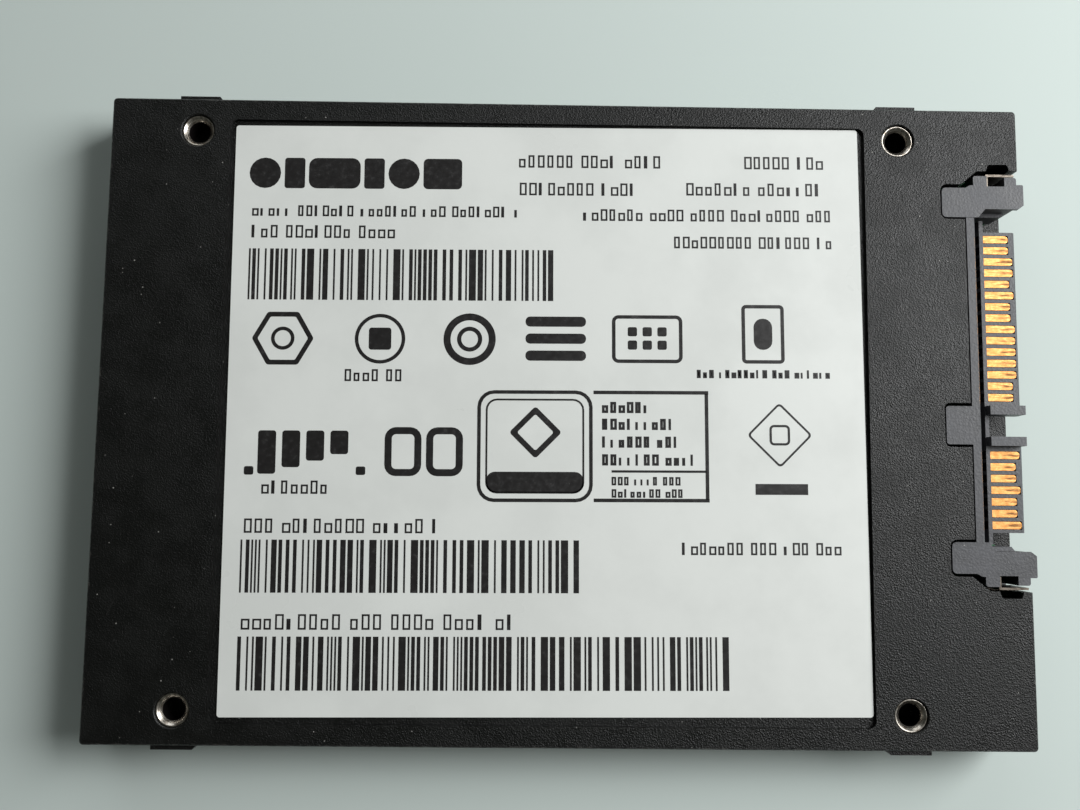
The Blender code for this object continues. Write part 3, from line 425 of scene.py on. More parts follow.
class BoxEdges(Effect):
    """Nearness to the outer edges of a box, for wear and handling shine."""

    name = "box_edges"
    inputs = {"place": (0.0, 0.0, 0.0), "low": (0.0, 0.0, 0.0), "high": (0.0, 0.0, 0.0), "width": 0.3}

    def wire(self, graph: Graph, entry: dict[str, Socket]) -> list[Socket]:
        """Wire the middle one of the three distances to the box's faces.

        Args:
            graph: the group's tree.
            entry: its inputs by name.

        Returns:
            Its outputs in order.
        """
        below = graph.vector("ABSOLUTE", graph.vector("SUBTRACT", entry["place"], entry["low"]))
        above = graph.vector("ABSOLUTE", graph.vector("SUBTRACT", entry["high"], entry["place"]))
        x, y, z = graph.split(graph.vector("MINIMUM", below, above))
        lesser = graph.math("MINIMUM", x, y)
        greater = graph.math("MAXIMUM", x, y)
        middle = graph.math("MAXIMUM", lesser, graph.math("MINIMUM", greater, z))
        ragged = graph.noise(entry["place"], 1.3, 4.0, 0.65)
        width = graph.math("MULTIPLY", entry["width"], graph.between(ragged, 0.42, 0.7, 0.15, 1.6))
        return [graph.between(middle, width, 0.0)]


class Turning(Effect):
    """Concentric tool marks round the object's own Z axis."""

    name = "turning_marks"
    inputs = {"place": (0.0, 0.0, 0.0), "pitch": 0.05}

    def wire(self, graph: Graph, entry: dict[str, Socket]) -> list[Socket]:
        """Wire noise that changes with the radius and a little with the height.

        Args:
            graph: the group's tree.
            entry: its inputs by name.

        Returns:
            Its outputs in order.
        """
        x, y, z = graph.split(entry["place"])
        squares = graph.math("ADD", graph.math("MULTIPLY", x, x), graph.math("MULTIPLY", y, y))
        radius = graph.math("SQRT", squares)
        reading = graph.joined(radius, z, 0.0)
        return [graph.noise(reading, graph.math("DIVIDE", 1.0, entry["pitch"]), 2.0)]


class Streaks(Effect):
    """Marks drawn out along X, as a plug leaves on what it slides on."""

    name = "sliding_streaks"
    inputs = {"place": (0.0, 0.0, 0.0), "fineness": 12.0}

    def wire(self, graph: Graph, entry: dict[str, Socket]) -> list[Socket]:
        """Wire noise that is stretched along X."""
        stretched = graph.vector("MULTIPLY", entry["place"], (0.12, 1.0, 1.0))
        return [graph.noise(stretched, entry["fineness"], 3.0, 0.6)]


# --------------------------------------------------------------------------------------------------
# Finishes
# --------------------------------------------------------------------------------------------------


@dataclass(frozen=True)
class Finish:
    """A material: its name, and how its surface is wired."""

    name: str

    def material(self) -> bpy.types.Material:
        """Build the material once.

        Returns:
            The material.
        """
        full_name = f"{self.name}_surface"
        made = bpy.data.materials.get(full_name)
        if made:
            return made
        made = bpy.data.materials.new(full_name)
        made.use_nodes = True
        graph = Graph(made.node_tree)
        shader = made.node_tree.nodes["Principled BSDF"]
        reading = graph.node("ShaderNodeTexCoord").outputs["Object"]
        self.wire(graph, shader, graph.vector("MULTIPLY", reading, (1 / MM, 1 / MM, 1 / MM)))
        return made

    def wire(self, graph: Graph, shader: bpy.types.Node, place: Socket) -> None:
        """Wire the surface into the shader.

        Args:
            graph: the material's tree.
            shader: its Principled BSDF.
            place: the object's own coordinates in millimetres.
        """
        raise NotImplementedError

    @staticmethod
    def raise_surface(graph: Graph, shader: bpy.types.Node, height: Socket, depth: float) -> None:
        """Bump the surface by a height from 0 to 1.

        Args:
            graph: the material's tree.
            shader: its Principled BSDF.
            height: the height's socket.
            depth: the height of 1, in metres.
        """
        bump = graph.node("ShaderNodeBump")
        bump.inputs["Distance"].default_value = depth
        graph.feed(bump.inputs["Height"], height)
        graph.feed(shader.inputs["Normal"], bump.outputs["Normal"])


@dataclass(frozen=True)
class MouldedPlastic(Finish):
    """Grained moulded plastic with handled edges, dust and scratches."""

    colour: Colour
    worn: Colour
    roughness: float = 0.55
    gloss: float = 0.5
    grain: float = 0.16
    depth: float = 0.012 * MM
    mottle: float = 0.25
    wear_low: Colour = (0.0, 0.0, 0.0)
    wear_high: Colour = (0.0, 0.0, 0.0)
    wear_width: float = 0.22
    dust: float = 0.25
    dust_colour: Colour = (0.5, 0.49, 0.46)
    wear_strength: float = 0.8
    scratch_strength: float = 0.5
    dust_strength: float = 0.7

    def wire(self, graph: Graph, shader: bpy.types.Node, place: Socket) -> None:
        """Wire grain, uneven colour, worn edges, dust and scratches.

        Args:
            graph: the material's tree.
            shader: its Principled BSDF.
            place: the object's own coordinates in millimetres.
        """
        shader.inputs["Specular IOR Level"].default_value = self.gloss
        grain = graph.group(Grain(), place=place, size=self.grain)
        clouds = graph.noise(place, 0.35, 3.0)
        edges = graph.group(
            BoxEdges(), place=place, low=self.wear_low, high=self.wear_high, width=self.wear_width
        )
        scratches = graph.group(Scratches(), place=place, spacing=6.0, width=0.05, share=0.3, turn=0.7)
        cross = graph.group(Scratches(), place=place, spacing=9.0, width=0.04, share=0.3, turn=-1.1)
        specks = graph.group(Specks(), place=place, spacing=1.0, radius=0.11, share=self.dust)
        marks = graph.math("MAXIMUM", scratches["mask"], cross["mask"])
        dark = tuple(channel * (1 - self.mottle) for channel in self.colour)
        light = tuple(channel * (1 + self.mottle) for channel in self.colour)
        colour = graph.mix(graph.between(clouds, 0.3, 0.7), dark, light)
        colour = graph.mix(graph.math("MULTIPLY", grain["pits"], 0.5), colour, dark)
        colour = graph.mix(graph.math("MULTIPLY", edges["mask"], self.wear_strength), colour, self.worn)
        colour = graph.mix(graph.math("MULTIPLY", marks, self.scratch_strength), colour, self.worn)
        dusty = graph.math("MULTIPLY", specks["mask"], self.dust_strength)
        colour = graph.mix(dusty, colour, self.dust_colour)
        graph.feed(shader.inputs["Base Color"], colour)
        uneven = graph.between(clouds, 0.35, 0.65, self.roughness - 0.05, self.roughness + 0.05)
        rough = graph.math("SUBTRACT", uneven, graph.math("MULTIPLY", edges["mask"], 0.15))
        graph.feed(shader.inputs["Roughness"], rough)
        self.raise_surface(graph, shader, grain["height"], self.depth)


@dataclass(frozen=True)
class LabelFilm(Finish):
    """Satin printed film with faint handling marks."""

    colour: Colour = (0.735, 0.755, 0.725)
    hairline: Colour = (0.45, 0.44, 0.42)
    dirt: Colour = (0.12, 0.10, 0.09)
    roughness: float = 0.32
    waviness: float = 0.006 * MM

    def wire(self, graph: Graph, shader: bpy.types.Node, place: Socket) -> None:
        """Wire a faintly wavy satin film with specks, hairlines and smudges.

        Args:
            graph: the material's tree.
            shader: its Principled BSDF.
            place: the object's own coordinates in millimetres.
        """
        clouds = graph.noise(place, 0.09, 4.0, 0.6)
        specks = graph.group(Specks(), place=place, spacing=1.5, radius=0.05, share=0.22)
        nicks = graph.group(Specks(), place=place, spacing=7.0, radius=0.13, share=0.3)
        hair = graph.group(Scratches(), place=place, spacing=7.0, width=0.035, share=0.25, turn=1.3)
        cross = graph.group(Scratches(), place=place, spacing=9.0, width=0.03, share=0.25, turn=0.5)
        smudged = tuple(channel * 0.94 for channel in self.colour)
        colour = graph.mix(graph.between(clouds, 0.35, 0.65), smudged, self.colour)
        marks = graph.math("MAXIMUM", hair["mask"], cross["mask"])
        colour = graph.mix(graph.math("MULTIPLY", marks, 0.3), colour, self.hairline)
        dirt = graph.math("MAXIMUM", graph.math("MULTIPLY", specks["mask"], 0.5), nicks["mask"])
        colour = graph.mix(graph.math("MULTIPLY", dirt, 0.6), colour, self.dirt)
        graph.feed(shader.inputs["Base Color"], colour)
        rough = graph.between(clouds, 0.3, 0.7, self.roughness - 0.05, self.roughness + 0.06)
        graph.feed(shader.inputs["Roughness"], rough)
        peel = graph.noise(place, 1.1, 2.0)
        self.raise_surface(graph, shader, peel, self.waviness)


@dataclass(frozen=True)
class PrintedInk(Finish):
    """Black ink, slightly thin in places."""

    colour: Colour = (0.012, 0.011, 0.011)
    under: Colour = (0.5, 0.5, 0.49)

    def wire(self, graph: Graph, shader: bpy.types.Node, place: Socket) -> None:
        """Wire dense ink with pinholes and worn patches.

        Args:
            graph: the material's tree.
            shader: its Principled BSDF.
            place: the object's own coordinates in millimetres.
        """
        clouds = graph.noise(place, 1.6, 4.0, 0.7)
        pinholes = graph.group(Specks(), place=place, spacing=0.9, radius=0.05, share=0.25)
        thin = graph.math("MULTIPLY", graph.between(clouds, 0.55, 0.75), 0.05)
        thin = graph.math("ADD", thin, graph.math("MULTIPLY", pinholes["mask"], 0.25))
        graph.feed(shader.inputs["Base Color"], graph.mix(thin, self.colour, self.under))
        graph.feed(shader.inputs["Roughness"], graph.between(clouds, 0.3, 0.7, 0.35, 0.5))
        self.raise_surface(graph, shader, clouds, 0.002 * MM)


@dataclass(frozen=True)
class TurnedMetal(Finish):
    """Plated metal with tool marks round its own axis."""

    colour: Colour
    tarnish: Colour
    roughness: float = 0.28
    grime: Colour = (0.06, 0.05, 0.045)
    # Painted shade: near-black colour for the bore below the mouth, and the depths where it starts and is
    # full, standing in for the shadow down the threads.
    bore_shade: Colour = (0.006, 0.005, 0.005)
    bore_shade_from: float = -0.52
    bore_shade_to: float = -0.68

    def wire(self, graph: Graph, shader: bpy.types.Node, place: Socket) -> None:
        """Wire tool marks, tarnish, fine dirt, and painted shade: the bore goes near black below the mouth,
        where the threads lie in shadow.

        Args:
            graph: the material's tree.
            shader: its Principled BSDF.
            place: the object's own coordinates in millimetres.
        """
        shader.inputs["Metallic"].default_value = 1.0
        marks = graph.group(Turning(), place=place, pitch=0.06)["mask"]
        clouds = graph.noise(place, 1.8, 4.0, 0.65)
        dirt = graph.group(Specks(), place=place, spacing=0.5, radius=0.07, share=0.35)["mask"]
        colour = graph.mix(graph.between(clouds, 0.42, 0.68), self.colour, self.tarnish)
        colour = graph.mix(graph.math("MULTIPLY", dirt, 0.6), colour, self.grime)
        depth = graph.split(place)[2]
        # Painted shade: below the mouth the bore's colour goes near black, standing in for the shadow deep in
        # the threads.
        bore_shaded = graph.between(depth, self.bore_shade_from, self.bore_shade_to)
        graph.feed(shader.inputs["Base Color"], graph.mix(bore_shaded, colour, self.bore_shade))
        rough = graph.between(marks, 0.3, 0.7, self.roughness - 0.08, self.roughness + 0.14)
        graph.feed(shader.inputs["Roughness"], graph.blend(bore_shaded, rough, 0.75))
        self.raise_surface(graph, shader, marks, 0.006 * MM)


@dataclass(frozen=True)
class ContactGold(Finish):
    """Gold plating that a cable's springs have wiped."""

    colour: Colour = (0.50, 0.225, 0.07)
    bright: Colour = (0.62, 0.33, 0.12)
    wiped: Colour = (0.16, 0.075, 0.03)
    # Painted shade: near-black colour of the tails behind the ridge, and where along X it starts.
    tail_shade: Colour = (0.02, 0.016, 0.012)
    tail_shade_end: float = 46.0
    row_centre: float = 4.8
    pitch: float = 1.27
    wipe_start: float = 48.0

    def wire(self, graph: Graph, shader: bpy.types.Node, place: Socket) -> None:
        """Wire streaked gold with a dark wiped line along each blade's middle, and painted shade: the tails
        behind the ridge go near black, standing in for their shadow.

        Args:
            graph: the material's tree.
            shader: its Principled BSDF.
            place: the object's own coordinates in millimetres.
        """
        shader.inputs["Metallic"].default_value = 1.0
        x, y, _ = graph.split(place)
        streaks = graph.group(Streaks(), place=place, fineness=9.0)["mask"]
        clouds = graph.noise(place, 2.2, 3.0, 0.6)
        number = graph.math("DIVIDE", graph.math("SUBTRACT", y, self.row_centre), self.pitch)
        offset = graph.math("ABSOLUTE", graph.math("SUBTRACT", graph.math("FRACT", number), 0.5))
        offset = graph.math("MULTIPLY", offset, self.pitch)
        middle = graph.between(offset, 0.26, 0.05)
        along = graph.between(x, self.wipe_start - 1.2, self.wipe_start + 0.6)
        wiped = graph.math("MULTIPLY", graph.math("MULTIPLY", middle, along), streaks)
        colour = graph.mix(graph.between(clouds, 0.35, 0.7), self.colour, self.bright)
        colour = graph.mix(graph.between(wiped, 0.2, 0.6), colour, self.wiped)
        # Painted shade: the tails behind the ridge go near black, standing in for the shadow they lie in.
        colour = graph.mix(graph.between(x, self.tail_shade_end + 0.1, self.tail_shade_end - 0.1), colour, self.tail_shade)
        graph.feed(shader.inputs["Base Color"], colour)
        graph.feed(shader.inputs["Roughness"], graph.between(streaks, 0.3, 0.7, 0.4, 0.6))
        self.raise_surface(graph, shader, streaks, 0.008 * MM)


@dataclass(frozen=True)
class TinnedSheet(Finish):
    """Dull tin plating with rolling marks and handling stains."""

    colour: Colour = (0.15, 0.13, 0.11)
    stain: Colour = (0.06, 0.05, 0.04)

    def wire(self, graph: Graph, shader: bpy.types.Node, place: Socket) -> None:
        """Wire streaks and stains.

        Args:
            graph: the material's tree.
            shader: its Principled BSDF.
            place: the object's own coordinates in millimetres.
        """
        shader.inputs["Metallic"].default_value = 1.0
        streaks = graph.group(Streaks(), place=place, fineness=8.0)["mask"]
        clouds = graph.noise(place, 1.2, 4.0, 0.7)
        colour = graph.mix(graph.between(clouds, 0.4, 0.7), self.colour, self.stain)
        graph.feed(shader.inputs["Base Color"], colour)
        graph.feed(shader.inputs["Roughness"], graph.between(streaks, 0.3, 0.7, 0.3, 0.5))
        self.raise_surface(graph, shader, streaks, 0.004 * MM)


@dataclass(frozen=True)
class SolderMask(Finish):
    """Green solder mask with copper tracks showing under it."""

    colour: Colour = (0.012, 0.10, 0.035)
    track: Colour = (0.03, 0.20, 0.07)
    pitch: float = 0.9

    def wire(self, graph: Graph, shader: bpy.types.Node, place: Socket) -> None:
        """Wire tracks as stepped lanes that jog from cell to cell, and vias at their ends.

        Args:
            graph: the material's tree.
            shader: its Principled BSDF.
            place: the object's own coordinates in millimetres.
        """
        x, y, _ = graph.split(place)
        cell = graph.math("FLOOR", graph.math("DIVIDE", x, 5.0))
        chance = graph.node("ShaderNodeTexWhiteNoise", noise_dimensions="1D")
        graph.feed(chance.inputs["W"], cell)
        jog = graph.math("MULTIPLY", chance.outputs["Value"], self.pitch)
        lane = graph.math("FRACT", graph.math("DIVIDE", graph.math("ADD", y, jog), self.pitch))
        track = graph.between(graph.math("ABSOLUTE", graph.math("SUBTRACT", lane, 0.5)), 0.2, 0.14)
        distance, _ = graph.cells(place, 0.45)
        via = graph.between(distance, 0.16, 0.12)
        pattern = graph.math("MAXIMUM", track, via)
        graph.feed(shader.inputs["Base Color"], graph.mix(pattern, self.colour, self.track))
        clouds = graph.noise(place, 3.0, 2.0)
        graph.feed(shader.inputs["Roughness"], graph.between(clouds, 0.3, 0.7, 0.22, 0.36))
        self.raise_surface(graph, shader, pattern, 0.02 * MM)


@dataclass(frozen=True)
class MouldedResin(Finish):
    """Black epoxy of a chip, with a fine blasted grain."""

    colour: Colour = (0.014, 0.014, 0.016)

    def wire(self, graph: Graph, shader: bpy.types.Node, place: Socket) -> None:
        """Wire grain and faint flow clouds.

        Args:
            graph: the material's tree.
            shader: its Principled BSDF.
            place: the object's own coordinates in millimetres.
        """
        grain = graph.group(Grain(), place=place, size=0.07)
        clouds = graph.noise(place, 0.6, 3.0)
        light = tuple(channel * 1.7 for channel in self.colour)
        graph.feed(shader.inputs["Base Color"], graph.mix(clouds, self.colour, light))
        graph.feed(shader.inputs["Roughness"], graph.between(grain["height"], 0.4, 0.9, 0.5, 0.66))
        self.raise_surface(graph, shader, grain["height"], 0.006 * MM)


@dataclass(frozen=True)
class CapacitorCeramic(Finish):
    """Sintered tan ceramic."""

    colour: Colour = (0.36, 0.23, 0.13)

    def wire(self, graph: Graph, shader: bpy.types.Node, place: Socket) -> None:
        """Wire uneven sintered colour and a slight grain.

        Args:
            graph: the material's tree.
            shader: its Principled BSDF.
            place: the object's own coordinates in millimetres.
        """
        grain = graph.group(Grain(), place=place, size=0.1)
        clouds = graph.noise(place, 2.5, 4.0, 0.6)
        dark = tuple(channel * 0.75 for channel in self.colour)
        graph.feed(shader.inputs["Base Color"], graph.mix(clouds, dark, self.colour))
        graph.feed(shader.inputs["Roughness"], graph.between(clouds, 0.3, 0.7, 0.35, 0.5))
        self.raise_surface(graph, shader, grain["height"], 0.005 * MM)


@dataclass(frozen=True)
class Silicone(Finish):
    """Soft filled silicone of a thermal pad."""

    colour: Colour = (0.28, 0.34, 0.40)

    def wire(self, graph: Graph, shader: bpy.types.Node, place: Socket) -> None:
        """Wire filler grains and a weave pressed in by its liner.

        Args:
            graph: the material's tree.
            shader: its Principled BSDF.
            place: the object's own coordinates in millimetres.
        """
        grain = graph.group(Grain(), place=place, size=0.25)
        x, y, _ = graph.split(place)
        weave = graph.math("MULTIPLY", graph.math("SINE", graph.math("MULTIPLY", x, 9.0)), 0.5)
        weave = graph.math("MULTIPLY", weave, graph.math("SINE", graph.math("MULTIPLY", y, 9.0)))
        light = tuple(channel * 1.25 for channel in self.colour)
        graph.feed(shader.inputs["Base Color"], graph.mix(grain["height"], self.colour, light))
        graph.feed(shader.inputs["Roughness"], graph.between(grain["height"], 0.3, 0.9, 0.7, 0.85))
        self.raise_surface(graph, shader, graph.math("ADD", weave, grain["height"]), 0.012 * MM)


@dataclass(frozen=True)
class StudioFloor(Finish):
    """Plain pale floor with a barely visible texture."""

    colour: Colour = (0.56, 0.63, 0.60)

    def wire(self, graph: Graph, shader: bpy.types.Node, place: Socket) -> None:
        """Wire a faint unevenness.

        Args:
            graph: the material's tree.
            shader: its Principled BSDF.
            place: the object's own coordinates in millimetres.
        """
        clouds = graph.noise(place, 0.02, 2.0)
        dark = tuple(channel * 0.97 for channel in self.colour)
        graph.feed(shader.inputs["Base Color"], graph.mix(clouds, dark, self.colour))
        shader.inputs["Roughness"].default_value = 0.85


class Palette:
    """The drive's finishes."""

    ink = PrintedInk("printed_ink")
    film = LabelFilm("label_film")
    insert = TurnedMetal("insert_steel", colour=(0.60, 0.56, 0.50), tarnish=(0.26, 0.22, 0.18))
    gold = ContactGold("contact_gold")
    tin = TinnedSheet("tinned_metal")
    board = SolderMask("board_laminate")
    resin = MouldedResin("chip_resin")
    ceramic = CapacitorCeramic("capacitor_ceramic")
    silicone = Silicone("thermal_silicone")
    plug = MouldedPlastic(
        "plug_plastic",
        colour=(0.060, 0.061, 0.067),
        worn=(0.20, 0.20, 0.20),
        roughness=0.48,
        grain=0.3,
        depth=0.012 * MM,
        mottle=0.28,
        dust=0.2,
    )
    floor = StudioFloor("studio_floor")

    @staticmethod
    def case(low: Vector, high: Vector) -> MouldedPlastic:
        """Case plastic, worn along the edges of the case's own box.

        Args:
            low: the case's lowest corner.
            high: the case's highest corner.

        Returns:
            The finish.
        """
        return MouldedPlastic(
            "case_plastic",
            colour=(0.0036, 0.0039, 0.0034),
            worn=(0.075, 0.072, 0.066),
            roughness=0.4,
            gloss=0.37,
            grain=0.19,
            depth=0.038 * MM,
            mottle=0.12,
            wear_low=tuple(low / MM),
            wear_high=tuple(high / MM),
        )


# --------------------------------------------------------------------------------------------------
# Shapes
# --------------------------------------------------------------------------------------------------


def disc(x: float, y: float, radius: float, steps: int = 48) -> Outline:
    """Outline of a circle.

    Args:
        x: centre to the right.
        y: centre up.
        radius: its radius.
        steps: points round it.

    Returns:
        The outline.
    """
    turns = (math.tau * step / steps for step in range(steps))
    return [Vector((x + radius * math.cos(turn), y + radius * math.sin(turn))) for turn in turns]


def rounded_polygon(corners: Outline, radius: float, steps: int = 5) -> Outline:
    """Outline through convex corners with an arc at each.

    Args:
        corners: the corners, counter-clockwise.
        radius: radius of the arcs.
        steps: straight pieces in each arc.

    Returns:
        The rounded outline.
    """
    made = []
    for index, corner in enumerate(corners):
        before = (corners[index - 1] - corner).normalized()
        after = (corners[(index + 1) % len(corners)] - corner).normalized()
        half = before.angle(after) / 2
        centre = corner + (before + after).normalized() * radius / math.sin(half)
        start = corner + before * radius / math.tan(half) - centre
        sweep = math.pi - 2 * half
        for step in range(steps + 1):
            turn = Matrix.Rotation(sweep * step / steps, 2)
            made.append(centre + turn @ start)
    return made


def box(left: float, bottom: float, right: float, top: float, radius: float = 0.0) -> Outline:
    """Outline of a rectangle with rounded corners.

    Args:
        left: its left side.
        bottom: its lower side.
        right: its right side.
        top: its upper side.
        radius: radius of its corners.

    Returns:
        The outline.
    """
    corners = [Vector(point) for point in ((left, bottom), (right, bottom), (right, top), (left, top))]
    return rounded_polygon(corners, radius) if radius > 0 else corners


def regular(x: float, y: float, radius: float, sides: int, turn: float, rounding: float) -> Outline:
    """Outline of a regular polygon with rounded corners.

    Args:
        x: centre to the right.
        y: centre up.
        radius: distance of its corners from the centre.
        sides: how many sides it has.
        turn: angle of its first corner.
        rounding: radius of its corners.

    Returns:
        The outline.
    """
    angles = (turn + math.tau * side / sides for side in range(sides))
    corners = [Vector((x + radius * math.cos(a), y + radius * math.sin(a))) for a in angles]
    return rounded_polygon(corners, rounding)


class Solid:
    """Closed shapes gathered in one mesh."""

    def __init__(self) -> None:
        """Start with nothing."""
        self.shape = bmesh.new()

    def faces(self, rings: list[list[bmesh.types.BMVert]], closed: bool, finish: int = 0) -> None:
        """Skin a run of rings with quads.

        Args:
            rings: rings of equally many vertices.
            closed: whether the last ring joins the first.
            finish: material index of the faces.
        """
        following = rings[1:] + rings[:1] if closed else rings[1:]
        for lower, upper in zip(rings, following):
            for index in range(len(lower)):
                corners = (lower[index - 1], lower[index], upper[index], upper[index - 1])
                self.shape.faces.new(corners).material_index = finish

    def ring(self, outline: Outline, height: float) -> list[bmesh.types.BMVert]:
        """Vertices of an outline at a height."""
        return [self.shape.verts.new((point.x, point.y, height)) for point in outline]

    def prism(self, outline: Outline, low: float, high: float, finish: int = 0) -> None:
        """Solid of an outline between two heights.

        Args:
            outline: its outline.
            low: lower height.
            high: upper height.
            finish: material index of its faces.
        """
        rings = [self.ring(outline, low), self.ring(outline, high)]
        self.faces(rings, False, finish)
        for ring in rings:
            self.shape.faces.new(ring).material_index = finish

    def frame(self, outer: Outline, inner: Outline, low: float, high: float) -> None:
        """Solid between an outer and an inner outline of equally many points.

        Args:
            outer: outer outline.
            inner: inner outline.
            low: lower height.
            high: upper height.
        """
        rings = [self.ring(outer, low), self.ring(outer, high), self.ring(inner, high), self.ring(inner, low)]
        self.faces(rings, True)

    def turned(self, profile: list[tuple[float, float]], steps: int = 96) -> None:
        """Turn a closed profile round Z.

        Args:
            profile: radius and height of its points.
            steps: steps round the axis.
        """
        rings = [self.ring(disc(0.0, 0.0, radius, steps), height) for radius, height in profile]
        self.faces(rings, True)

    def finish(
        self, name: str, materials: list[bpy.types.Material], smooth: float = 35.0
    ) -> bpy.types.Object:
        """Close the mesh and make its object.

        Args:
            name: the piece's name.
            materials: its materials by index.
            smooth: largest angle that is shaded smooth, in degrees.

        Returns:
            The object, in the scene.
        """
        bmesh.ops.recalc_face_normals(self.shape, faces=self.shape.faces)
        mesh = bpy.data.meshes.new(name)
        self.shape.to_mesh(mesh)
        self.shape.free()
        mesh.shade_smooth()
        mesh.set_sharp_from_angle(angle=math.radians(smooth))
        made = bpy.data.objects.new(name, mesh)
        for material in materials:
            mesh.materials.append(material)
        bpy.context.scene.collection.objects.link(made)
        return made


def dress(node: bpy.types.Object, material: bpy.types.Material) -> None:
    """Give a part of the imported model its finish.

    Args:
        node: the part.
        material: its material.
    """
    node.data.materials.clear()
    node.data.materials.append(material)
    LOG.info("dressed %s", node.name)


def soften(node: bpy.types.Object, width: float, segments: int = 2, angle: float = 40.0) -> None:
    """Round a part's sharp edges a little.

    Args:
        node: the part.
        width: width of the rounding, in metres.
        segments: steps across it.
        angle: edges sharper than this are rounded, in degrees.
    """
    bevel = node.modifiers.new("softened_edges", "BEVEL")
    bevel.width = width
    bevel.segments = segments
    bevel.limit_method = "ANGLE"
    bevel.angle_limit = math.radians(angle)


def place(piece: bpy.types.Object, slot: str | None, *nodes: str) -> None:
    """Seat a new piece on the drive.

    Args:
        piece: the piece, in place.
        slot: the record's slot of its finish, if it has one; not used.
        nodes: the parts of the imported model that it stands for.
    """
    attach(piece, BODY)
    if nodes:
        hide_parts(*nodes)
    LOG.info("placed %s", piece.name)


# --------------------------------------------------------------------------------------------------
# Sub-assemblies
# --------------------------------------------------------------------------------------------------


@dataclass
class Case:
    """Base shell and cover."""

    nodes: dict[str, bpy.types.Object]
    softening: float = 0.05 * MM

    def build(self) -> None:
        """Dress the two mouldings and round their edges."""
        low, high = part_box("base_shell")
        lid_low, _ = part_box("cover")
        finish = Palette.case(Vector((low.x, lid_low.y, lid_low.z)), Vector((high.x, -lid_low.y, high.z)))
        for name in ("base_shell", "cover"):
            dress(self.nodes[name], finish.material())
            soften(self.nodes[name], self.softening)


class InsertKind(Enum):
    """Which way an insert's mouth faces."""

    FACE = "face_insert"
    SIDE = "side_insert"


@dataclass
class ThreadedInsert:
    """Turned M3 insert with a countersunk mouth and thread grooves.

    The holding groove outside is placed in shares of the length, and the thread's crest and root in
    shares of the pitch.
    """

    kind: InsertKind
    end: str
    side: str
    bore: float = 1.17 * MM
    thread_root: float = 1.4 * MM
    thread_pitch: float = 0.5 * MM
    rim: float = 0.16 * MM
    rounding: float = 0.04 * MM
    lead_depth: float = 0.52 * MM
    groove: float = 0.12 * MM
    groove_from: float = 0.4
    groove_to: float = 0.72
    crest_end: float = 0.12
    root_start: float = 0.5
    root_end: float = 0.62

    @property
    def name(self) -> str:
        """Name of the part that the insert stands for."""
        return f"{self.kind.value}_{self.end}_{self.side}"

    def profile(self, outer: float, length: float) -> list[tuple[float, float]]:
        """Closed profile from the mouth at height 0 down to -length.

        Args:
            outer: outer radius.
            length: length.

        Returns:
            Radius and height of each point.
        """
        curve = self.rounding
        lip = outer - self.rim
        points = [
            (outer, -curve),
            (outer - 0.3 * curve, -0.3 * curve),
            (outer - curve, 0.0),
            (lip + curve, 0.0),
            (lip, -0.4 * curve),
            (self.bore + 0.5 * curve, -self.lead_depth + curve),
        ]
        height = -self.lead_depth
        while height - self.thread_pitch > -length:
            points += [
                (self.bore, height),
                (self.bore, height - self.crest_end * self.thread_pitch),
                (self.thread_root, height - self.root_start * self.thread_pitch),
                (self.thread_root, height - self.root_end * self.thread_pitch),
            ]
            height -= self.thread_pitch
        points += [
            (self.bore, height),
            (self.bore, -length),
            (outer - curve, -length),
            (outer, -length + curve),
            (outer, -self.groove_to * length),
            (outer - self.groove, -self.groove_to * length + self.groove),
            (outer - self.groove, -self.groove_from * length - self.groove),
            (outer, -self.groove_from * length),
        ]
        return points

    def build(self) -> None:
        """Turn the insert and seat it where its part is."""
        low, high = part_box(self.name)
        centre = (low + high) / 2
        size = high - low
        solid = Solid()
        if self.kind is InsertKind.FACE:
            solid.turned(self.profile(size.x / 2, size.z))
            turn = Matrix.Identity(4)
            mouth = Vector((centre.x, centre.y, high.z))
        else:
            solid.turned(self.profile(size.x / 2, size.y))
            outward = 1 if centre.y > 0 else -1
            turn = Matrix.Rotation(-outward * math.pi / 2, 4, "X")
            mouth = Vector((centre.x, high.y if outward > 0 else low.y, centre.z))
        piece = solid.finish(f"{self.name}_turned", [Palette.insert.material()])
        piece.matrix_world = Matrix.Translation(mouth) @ turn
        place(piece, "insert_steel", self.name)


@dataclass
class Plug:
    """Plug housing, contacts and board locks."""

    nodes: dict[str, bpy.types.Object]
    housing_softening: float = 0.05 * MM
    contact_softening: float = 0.06 * MM
    contact_steps: int = 3
    contact_angle: float = 50.0
    lock_softening: float = 0.04 * MM

    def build(self) -> None:
        """Dress the plug's parts and round their edges."""
        housing = self.nodes["plug_housing"]
        dress(housing, Palette.plug.material())
        soften(housing, self.housing_softening)
        for name, node in sorted(self.nodes.items()):
            if "_contact_" in name:
                dress(node, Palette.gold.material())
                soften(node, self.contact_softening, self.contact_steps, self.contact_angle)
            elif name.startswith("board_lock"):
                dress(node, Palette.tin.material())
                soften(node, self.lock_softening)


